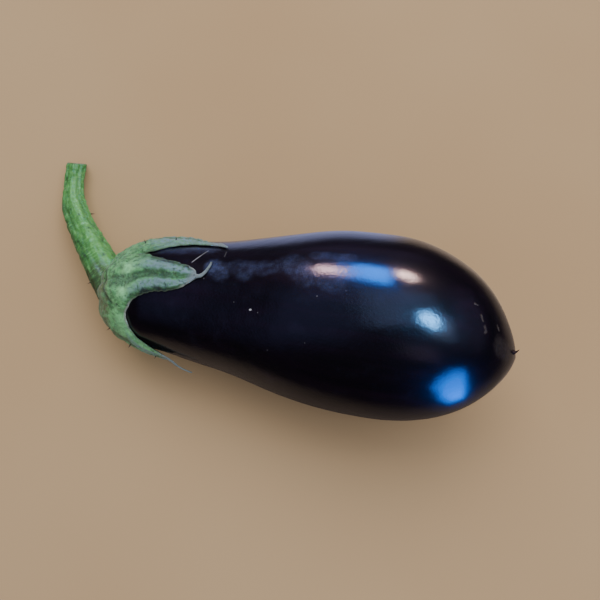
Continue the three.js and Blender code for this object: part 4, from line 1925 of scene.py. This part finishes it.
class Growth:
    """Cones that Geometry Nodes grow on a carrier mesh, which ends as their plain mesh."""

    KINDS = {
        float: "NodeSocketFloat",
        int: "NodeSocketInt",
        Material: "NodeSocketMaterial",
    }

    def __init__(self, name: str, **inputs: float | int | Material) -> None:
        """Starts a tree.

        Args:
            name: The tree's name.
            **inputs: The value of each input, whose name has underscores here.
        """
        self.tree = bpy.data.node_groups.new(name, "GeometryNodeTree")
        for way in ("INPUT", "OUTPUT"):
            self.tree.interface.new_socket("Geometry", in_out=way, socket_type="NodeSocketGeometry")
        self.values: dict[str, float | int | Material] = {}
        for label, value in inputs.items():
            kind = self.KINDS[type(value)]
            socket = self.tree.interface.new_socket(label.replace("_", " "), in_out="INPUT", socket_type=kind)
            self.values[socket.identifier] = value
        self.graph = Graph(self.tree)
        self.given = self.graph.node("NodeGroupInput").outputs

    def stored(self, name: str, kind: str = "FLOAT") -> Socket:
        """A value that the carrier keeps at its points."""
        return self.graph.node("GeometryNodeInputNamedAttribute", {"Name": name}, data_type=kind).outputs[0]

    def cone(self, sides: int, segments: int, tip: SocketValue) -> Socket:
        """A cone along Z, as long as the tree's length.

        Args:
            sides: How many sides it has.
            segments: How many rings of faces.
            tip: The radius of its tip.

        Returns:
            Its mesh.
        """
        values = {
            "Vertices": sides,
            "Side Segments": segments,
            "Radius Top": tip,
            "Radius Bottom": self.given["Root Radius"],
            "Depth": self.given["Length"],
        }
        return self.graph.node("GeometryNodeMeshCone", values).outputs["Mesh"]

    def plant(self, points: Socket, cone: Socket, aim: Socket, size: Socket) -> None:
        """Sets a cone on each point and ends the tree in real faces with their material.

        Args:
            points: The points.
            cone: The cone.
            aim: The direction that each cone turns to.
            size: How large each cone is.
        """
        graph = self.graph
        turn = graph.node("FunctionNodeAlignRotationToVector", {"Vector": aim}, axis="Z").outputs[0]
        values = {"Points": points, "Instance": cone, "Rotation": turn, "Scale": size}
        cones = graph.node("GeometryNodeInstanceOnPoints", values).outputs[0]
        real = graph.node("GeometryNodeRealizeInstances", {"Geometry": cones}).outputs[0]
        values = {"Geometry": real, "Material": self.given["Finish"]}
        graph.node("NodeGroupOutput", {0: graph.node("GeometryNodeSetMaterial", values).outputs[0]})

    def grow(self, carrier: Object) -> Object:
        """Runs the tree on a carrier mesh and keeps the result as its plain mesh.

        Args:
            carrier: The mesh object that the tree reads, which becomes the piece.

        Returns:
            The piece.
        """
        modifier = carrier.modifiers.new(self.tree.name, "NODES")
        modifier.node_group = self.tree
        for identifier, value in self.values.items():
            modifier[identifier] = value
        depsgraph = bpy.context.evaluated_depsgraph_get()
        grown = bpy.data.meshes.new_from_object(carrier.evaluated_get(depsgraph), depsgraph=depsgraph)
        carrier.modifiers.clear()
        carrier.data = grown
        return carrier


@dataclass
class Prickles:
    """The thin spikes of the calyx and the stem, at fixed places and at places drawn by a seed."""

    calyx: Calyx
    stem: Stem
    length: float = 2.4
    radius: float = 0.55
    tip_radius: float = 0.05
    root: float = 0.9
    sides: int = 10
    segments: int = 4
    small_count: int = 34
    seed: int = 8
    on_calyx: tuple[Triple, ...] = (
        (38.5, 44, 0.9), (53.5, 37, 0.8), (24.8, 160, 1.0), (37, 172, 1.0), (50.6, 180, 0.7),
        (38.1, 66, 0.35), (34.4, 72, 0.4), (44.4, 82, 0.3), (44.1, 90, 0.3), (27, 340, 0.9),
        (30, 232, 0.8), (46, 312, 0.6), (24, 290, 0.9),
    )
    on_stem: tuple[Triple, ...] = (
        (32, 250, 0.4), (60, 300, 1.3), (46, 300, 0.8), (47, 20, 0.45), (8.5, 110, 0.7),
    )

    def feet(self) -> tuple[Array, Array, Array]:
        """Where the prickles stand.

        Returns:
            Their places in metres, their directions and their sizes.
        """
        draw = np.random.default_rng(self.seed)
        feet = [(*self.calyx.foot(way, degrees), size) for way, degrees, size in self.on_calyx]
        for _ in range(self.small_count):
            place, outward = self.calyx.foot(draw.uniform(20, 56), draw.uniform(0, 360))
            feet.append((place, outward + draw.normal(0, 0.25, 3), draw.uniform(0.12, 0.3)))
        for distance, degrees, size in self._stem_spots(draw):
            row = min(round(distance / self.stem.length * self.stem.rows), self.stem.rows)
            angle = math.radians(degrees)
            outward = self.stem.place(row, angle, 1.0) - self.stem.place(row, angle, 0.0)
            feet.append((self.stem.place(row, angle, self.stem.row_radii[row]), outward, size))
        places, outwards, sizes = (np.array(part) for part in zip(*feet))
        return places * MM, outwards, sizes

    def _stem_spots(self, draw: np.random.Generator) -> list[Triple]:
        """The stem's prickles: the given ones and small drawn ones.

        Args:
            draw: The source of random numbers.

        Returns:
            The distance, angle and size of each.
        """
        drawn = [
            (draw.uniform(18, self.stem.length - 3), draw.uniform(0, 360), draw.uniform(0.1, 0.24))
            for _ in range(self.small_count)
        ]
        return [*self.on_stem, *drawn]

    def build(self, finish: Material) -> Object:
        """Grows the prickles on their feet.

        Args:
            finish: Their material.

        Returns:
            The piece.
        """
        places, outwards, sizes = self.feet()
        outwards /= np.linalg.norm(outwards, axis=1, keepdims=True)
        sunk = places - outwards * sizes[:, None] * self.root * MM
        carrier = add_mesh("prickles", sunk.tolist(), [])
        keep_values(carrier, "outward", outwards)
        keep_values(carrier, "size", sizes)
        growth = Growth(
            "prickle_growth",
            Length=(self.length + self.root) * MM,
            Root_Radius=self.radius * MM,
            Tip_Radius=self.tip_radius * MM,
            Finish=finish,
        )
        cone = growth.cone(self.sides, self.segments, growth.given["Tip Radius"])
        aim = growth.stored("outward", "FLOAT_VECTOR")
        growth.plant(growth.given["Geometry"], cone, aim, growth.stored("size"))
        return growth.grow(carrier)


@dataclass
class Felt:
    """Short pale hairs over a green surface."""

    name: str
    count: int
    length: float
    radius: float
    seed: int
    lean: float = 0.7
    sizes: Pair = (0.5, 1.2)
    sides: int = 3

    def build(self, surface: Object, finish: Material) -> Object:
        """Grows hairs from the faces that are marked for felt.

        Args:
            surface: The green piece that they stand on.
            finish: Their material.

        Returns:
            The piece.
        """
        carrier = add_object(self.name, surface.data.copy())
        carrier.data.materials.clear()
        area = sum(face.area for face in carrier.data.polygons)
        growth = Growth(
            self.name + "_growth",
            Density=self.count / area,
            Length=self.length * MM,
            Root_Radius=self.radius * MM,
            Lean=self.lean,
            Seed=self.seed,
            Finish=finish,
        )
        graph, given = growth.graph, growth.given
        marked = graph.math("GREATER_THAN", growth.stored("felt"), 0.5)
        values = {
            "Mesh": given["Geometry"],
            "Selection": marked,
            "Density": given["Density"],
            "Seed": given["Seed"],
        }
        feet = graph.node("GeometryNodeDistributePointsOnFaces", values).outputs
        values = {0: (-1.0, -1.0, -1.0), 1: (1.0, 1.0, 1.0), "Seed": given["Seed"]}
        lean = graph.node("FunctionNodeRandomValue", values, data_type="FLOAT_VECTOR").outputs[0]
        aim = graph.vector("ADD", feet["Normal"], graph.vector("SCALE", lean, given["Lean"]))
        values = {2: self.sizes[0], 3: self.sizes[1], "Seed": given["Seed"]}
        size = graph.node("FunctionNodeRandomValue", values, data_type="FLOAT").outputs[1]
        growth.plant(feet["Points"], growth.cone(self.sides, 1, 0.0), aim, size)
        return growth.grow(carrier)


# ---- The studio


class Reach(Enum):
    """What a light or a card lights."""

    ROOM = "room"
    GLOSS = "gloss"


def limit_reach(lit: Object, reach: Reach) -> None:
    """Hides a light or a card from the camera and from what it doesn't reach.

    Args:
        lit: The light or card.
        reach: Whether it lights the room or is only mirrored in glossy skin.
    """
    lit.visible_camera = False
    lit.visible_transmission = False
    lit.visible_diffuse = reach is Reach.ROOM
    lit.visible_glossy = reach is Reach.GLOSS


@dataclass(frozen=True)
class SoftLight:
    """A soft rectangular light that shines on the middle of the fruit."""

    name: str
    azimuth: float
    elevation: float
    distance: float
    width: float
    height: float
    colour: Colour
    radiance: float
    aim: Triple = (0.02, 0.0, 0.04)

    def build(self) -> None:
        """Builds the light."""
        lamp = bpy.data.lights.new(self.name, "AREA")
        lamp.shape = "RECTANGLE"
        lamp.size, lamp.size_y = self.width, self.height
        lamp.color = self.colour[:3]
        lamp.energy = self.radiance * math.pi * self.width * self.height
        made = add_object(self.name, lamp)
        azimuth, elevation = math.radians(self.azimuth), math.radians(self.elevation)
        flat = math.cos(elevation)
        way = Vector((math.cos(azimuth) * flat, math.sin(azimuth) * flat, math.sin(elevation)))
        turn = (-way).to_track_quat("-Z", "Y").to_matrix().to_4x4()
        made.matrix_world = Matrix.Translation(Vector(self.aim) + way * self.distance) @ turn
        limit_reach(made, Reach.ROOM)


@dataclass(frozen=True)
class MirroredCard:
    """A glowing card with a soft edge that the skin mirrors between given places.

    The places are millimetres from the stem end and degrees. The card stands where a ray from the
    camera goes on after it meets them, so that its mirror image fills the outline that they make.
    """

    name: str
    outline: Line
    distance: float
    colour: Colour
    radiance: float
    softness: float
    feather_out: float = 0.35
    feather_in: float = 0.65

    def build(self, form: FruitForm, eye: Vector) -> None:
        """Builds the card.

        Args:
            form: The form that mirrors it.
            eye: The camera's place.
        """
        corners = []
        for way, degrees in self.outline:
            place, outward = form.spot(way, degrees), form.outward(way, degrees)
            ray = (place - eye).normalized()
            corners.append(place + (ray - 2 * ray.dot(outward) * outward) * self.distance)
        centre = sum(corners, Vector()) / len(corners)
        count = len(corners)
        outer = [centre.lerp(corner, 1 + self.feather_out * self.softness) for corner in corners]
        inner = [centre.lerp(corner, 1 - self.feather_in * self.softness) for corner in corners]
        pairs = [(i, (i + 1) % count) for i in range(count)]
        faces = [(i, k, count + k, count + i) for i, k in pairs]
        faces += [(count + i, count + k, 2 * count) for i, k in pairs]
        made = add_mesh(self.name, [*outer, *inner, centre], faces)
        made.data.materials.append(self._material())
        keep_values(made, "glow", np.repeat([0.0, 1.0], [count, count + 1]))
        limit_reach(made, Reach.GLOSS)
        made.visible_shadow = False

    def _material(self) -> Material:
        """The card's glow, which goes out after a diffuse bounce, so that it lights nothing.

        Returns:
            The material.
        """
        material = bpy.data.materials.new(self.name)
        material.use_nodes = True
        graph = Graph(material.node_tree)
        bounces = graph.node("ShaderNodeLightPath").outputs["Diffuse Depth"]
        first = graph.math("LESS_THAN", bounces, 0.5)
        strength = graph.times(graph.span(graph.attribute("glow"), 0.0, 1.0), self.radiance)
        values = {"Color": self.colour, "Strength": graph.times(strength, first)}
        glow = graph.node("ShaderNodeEmission", values).outputs[0]
        graph.fill(graph.tree.nodes["Material Output"], {"Surface": glow})
        return material


@dataclass(frozen=True)
class GlossFloorFinish:
    """The floor as the glossy skin mirrors it: painted shadow towards -Y and +X, painted bluish window light
    towards +Y, dark far away.
    """

    warm: Colour = srgb(168, 148, 132)
    cool_window_light: Colour = srgb(172, 178, 230)
    dim_shadow: Colour = srgb(104, 90, 80)
    far: Colour = srgb(30, 22, 30)
    squash: Triple = (0.62, 1.0, 1.0)
    far_reach: Pair = (0.12, 0.24)

    def material(self) -> Material:
        """Builds the finish.

        Returns:
            The material.
        """
        material, graph, shader = new_material("gloss_floor")
        place = graph.here()
        split = graph.node("ShaderNodeSeparateXYZ", {0: place})
        x, y = split.outputs["X"], split.outputs["Y"]
        # Painted bluish window light towards +Y and painted shadow towards -Y and +X.
        cool_window_light = graph.times(graph.span(y, 0.045, 0.08), graph.span(x, 0.09, 0.05))
        low = graph.times(graph.span(y, -0.02, -0.05), graph.span(x, -0.03, 0.1, 0.8, 1.2))
        dim_shadow = graph.most(low, graph.span(x, 0.14, 0.18, 0.0, 0.7), clamp=True)
        away = graph.vector("LENGTH", graph.stretched(place, self.squash))
        colour = graph.painted(
            graph.mix(cool_window_light, self.warm, self.cool_window_light),
            (dim_shadow, self.dim_shadow),
            (graph.span(away, *self.far_reach), self.far),
        )
        graph.fill(shader, {"Base Color": colour, "Roughness": 1.0, "Specular IOR Level": 0.0})
        return material


@dataclass
class Studio:
    """The floor, the lights, the sky and the camera."""

    form: FruitForm
    floor_half: float = 4.0
    twin_half: float = 1.0
    twin_height: float = 0.0002
    sky: Colour = srgb(236, 238, 244)
    sky_strength: float = 0.56
    eye: Triple = (0.04048, -0.07892, 0.3517)
    aim: Triple = (0.02328, 0.00268, 0.0)
    across: Triple = (0.9786, 0.2058, 0.0)
    lens: float = 36.0
    clip_start: float = 0.01
    lights: tuple[SoftLight, ...] = (
        SoftLight("window_key", 104, 58, 1.6, 1.6, 1.2, srgb(255, 250, 240), 3.0),
        SoftLight("ceiling_key", 10, 66, 1.5, 0.9, 0.7, srgb(248, 250, 255), 3.0),
    )
    cards: tuple[MirroredCard, ...] = (
        MirroredCard(
            "pane_left",
            ((134.0, 72.5), (140.3, 71.5), (146.2, 72.5), (147.0, 77.5), (143.2, 77.5), (135.1, 75.0)),
            distance=1.1, colour=srgb(255, 208, 218), radiance=35.0, softness=0.5,
        ),
        MirroredCard(
            "pane_middle",
            ((147.8, 69.0), (158.8, 68.2), (169.6, 69.5), (170.2, 79.5), (160.7, 80.0), (149.4, 78.5)),
            distance=1.1, colour=srgb(4, 128, 255), radiance=36.0, softness=0.6,
        ),
        MirroredCard(
            "pane_right",
            ((171.6, 69.0), (175.6, 67.5), (180.2, 68.5), (180.4, 71.5), (177.6, 73.5), (172.4, 73.0)),
            distance=1.1, colour=srgb(255, 212, 204), radiance=56.0, softness=0.6,
        ),
        MirroredCard(
            "skylight",
            ((180.6, 89.5), (187.3, 85.0), (199.0, 92.0), (200.5, 102.0), (192.3, 103.0), (182.4, 96.0)),
            distance=1.0, colour=srgb(170, 190, 235), radiance=3.0, softness=0.8,
        ),
        MirroredCard(
            "skylight_core",
            ((184.1, 91.0), (187.6, 88.8), (192.6, 92.0), (193.6, 97.6), (190.2, 98.2), (185.1, 94.9)),
            distance=0.95, colour=srgb(100, 180, 255), radiance=70.0, softness=0.6,
        ),
        MirroredCard(
            "low_card",
            (
                (202.6, 121.5), (209.5, 121.0), (213.2, 134.0), (212.8, 150.0),
                (205.5, 152.0), (199.7, 145.5), (195.2, 135.0), (197.4, 128.0),
            ),
            distance=0.07, colour=srgb(2, 118, 255), radiance=20.0, softness=0.8,
        ),
        MirroredCard(
            "ceiling_light",
            (
                (152.5, 83.0), (165.6, 82.5), (176.4, 79.5), (187.8, 78.5), (191.8, 84.0),
                (182.4, 89.0), (181.5, 98.5), (164.2, 103.5), (161.0, 101.0), (153.9, 91.5),
            ),
            distance=1.3, colour=srgb(150, 176, 238), radiance=1.5, softness=0.45,
        ),
        MirroredCard(
            "ceiling",
            (
                (59.7, 95.5), (104.7, 87.0), (151.4, 83.0), (152.8, 92.0),
                (159.9, 101.5), (154.8, 114.0), (103.8, 127.5), (67.4, 120.5),
            ),
            distance=1.5, colour=srgb(130, 142, 220), radiance=0.5, softness=0.9,
        ),
        MirroredCard(
            "end_wall",
            ((191.2, 73.0), (205.7, 64.0), (218.5, 88.0), (217.1, 107.0), (203.4, 107.0), (198.9, 90.5)),
            distance=1.4, colour=srgb(150, 140, 200), radiance=0.4, softness=0.9,
        ),
        MirroredCard(
            "shelf",
            ((177.5, 109.5), (192.9, 107.5), (197.4, 117.0), (186.3, 118.0), (178.4, 114.5)),
            distance=1.0, colour=srgb(190, 170, 210), radiance=0.5, softness=0.9,
        ),
        MirroredCard(
            "far_wall",
            (
                (101.6, 47.0), (138.0, 51.5), (171.0, 49.0), (190.3, 51.0),
                (181.2, 58.0), (165.0, 59.0), (140.0, 62.0), (107.5, 62.5),
            ),
            distance=1.0, colour=srgb(170, 140, 190), radiance=0.35, softness=0.8,
        ),
    )

    def build(self) -> None:
        """Sets up everything round the eggplant."""
        self._floor()
        for light in self.lights:
            light.build()
        for card in self.cards:
            card.build(self.form, Vector(self.eye))
        self._sky()
        self._camera()
        LOG.info("studio: floor, %d lights, %d cards, sky, camera", len(self.lights), len(self.cards))

    def _plane(self, name: str, half: float, height: float, finish: Material) -> Object:
        """Lays a square staged plane.

        Args:
            name: Its name.
            half: Half its side in metres.
            height: Its height.
            finish: Its material.

        Returns:
            The plane.
        """
        corners = [(-half, -half, height), (half, -half, height), (half, half, height), (-half, half, height)]
        plane = add_mesh(name, corners, [(0, 1, 2, 3)])
        plane.data.materials.append(finish)
        return plane

    def _floor(self) -> None:
        """Lays the pale floor and its dimmer twin with painted light and shade, which only the glossy skin
        mirrors.
        """
        floor = self._plane("studio_floor", self.floor_half, 0.0, FloorFinish().material())
        floor.visible_glossy = False
        twin = self._plane("gloss_floor", self.twin_half, self.twin_height, GlossFloorFinish().material())
        limit_reach(twin, Reach.GLOSS)
        twin.visible_shadow = False

    def _sky(self) -> None:
        """Gives the room an even pale light that the skin doesn't mirror."""
        world = bpy.data.worlds.new("studio_sky")
        world.use_nodes = True
        background = world.node_tree.nodes["Background"]
        background.inputs["Color"].default_value = self.sky
        background.inputs["Strength"].default_value = self.sky_strength
        world.cycles_visibility.glossy = False
        bpy.context.scene.world = world

    def _camera(self) -> None:
        """Places the camera over the eggplant."""
        camera = bpy.data.cameras.new("camera")
        camera.lens = self.lens
        camera.sensor_width = self.lens
        camera.clip_start = self.clip_start
        made = add_object("camera", camera)
        ahead = (Vector(self.aim) - Vector(self.eye)).normalized()
        right = Vector(self.across).normalized()
        up = right.cross(ahead).normalized()
        turn = Matrix((right, up, -ahead)).transposed().to_4x4()
        made.matrix_world = Matrix.Translation(Vector(self.eye)) @ turn
        bpy.context.scene.camera = made


# ---- The eggplant


def main() -> None:
    """Builds the eggplant and its studio, piece by piece."""
    logging.basicConfig(level=logging.INFO, format="%(name)s: %(message)s")
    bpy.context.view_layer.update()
    effects = SharedEffects()
    form = FruitForm()

    skin = Fruit(form).build()
    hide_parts("fruit")
    dress(skin, SkinFinish().material(effects, form))

    stem = Stem(form)
    calyx = Calyx(form)
    leaves = calyx.build(stem)
    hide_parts("calyx")
    dress(leaves, CalyxFinish().material(effects))

    green = stem.build()
    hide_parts("stem")
    dress(green, StemFinish().material(effects))

    rest = FlowerRest(form).build()
    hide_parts("style_remnant")
    dress(rest, DriedFinish().material())

    spike_finish = HairFinish("prickle_tan", srgb(70, 64, 42), srgb(30, 26, 20)).material()
    dress(Prickles(calyx, stem).build(spike_finish), spike_finish)
    down = HairFinish("pale_down", srgb(150, 180, 160), srgb(96, 136, 104), 0.9).material()
    dress(Felt("calyx_down", 26000, 0.45, 0.035, 5).build(leaves, down), down)
    dress(Felt("stem_down", 12000, 0.35, 0.03, 6).build(green, down), down)

    Studio(form).build()


if __name__ == "__main__":
    main()
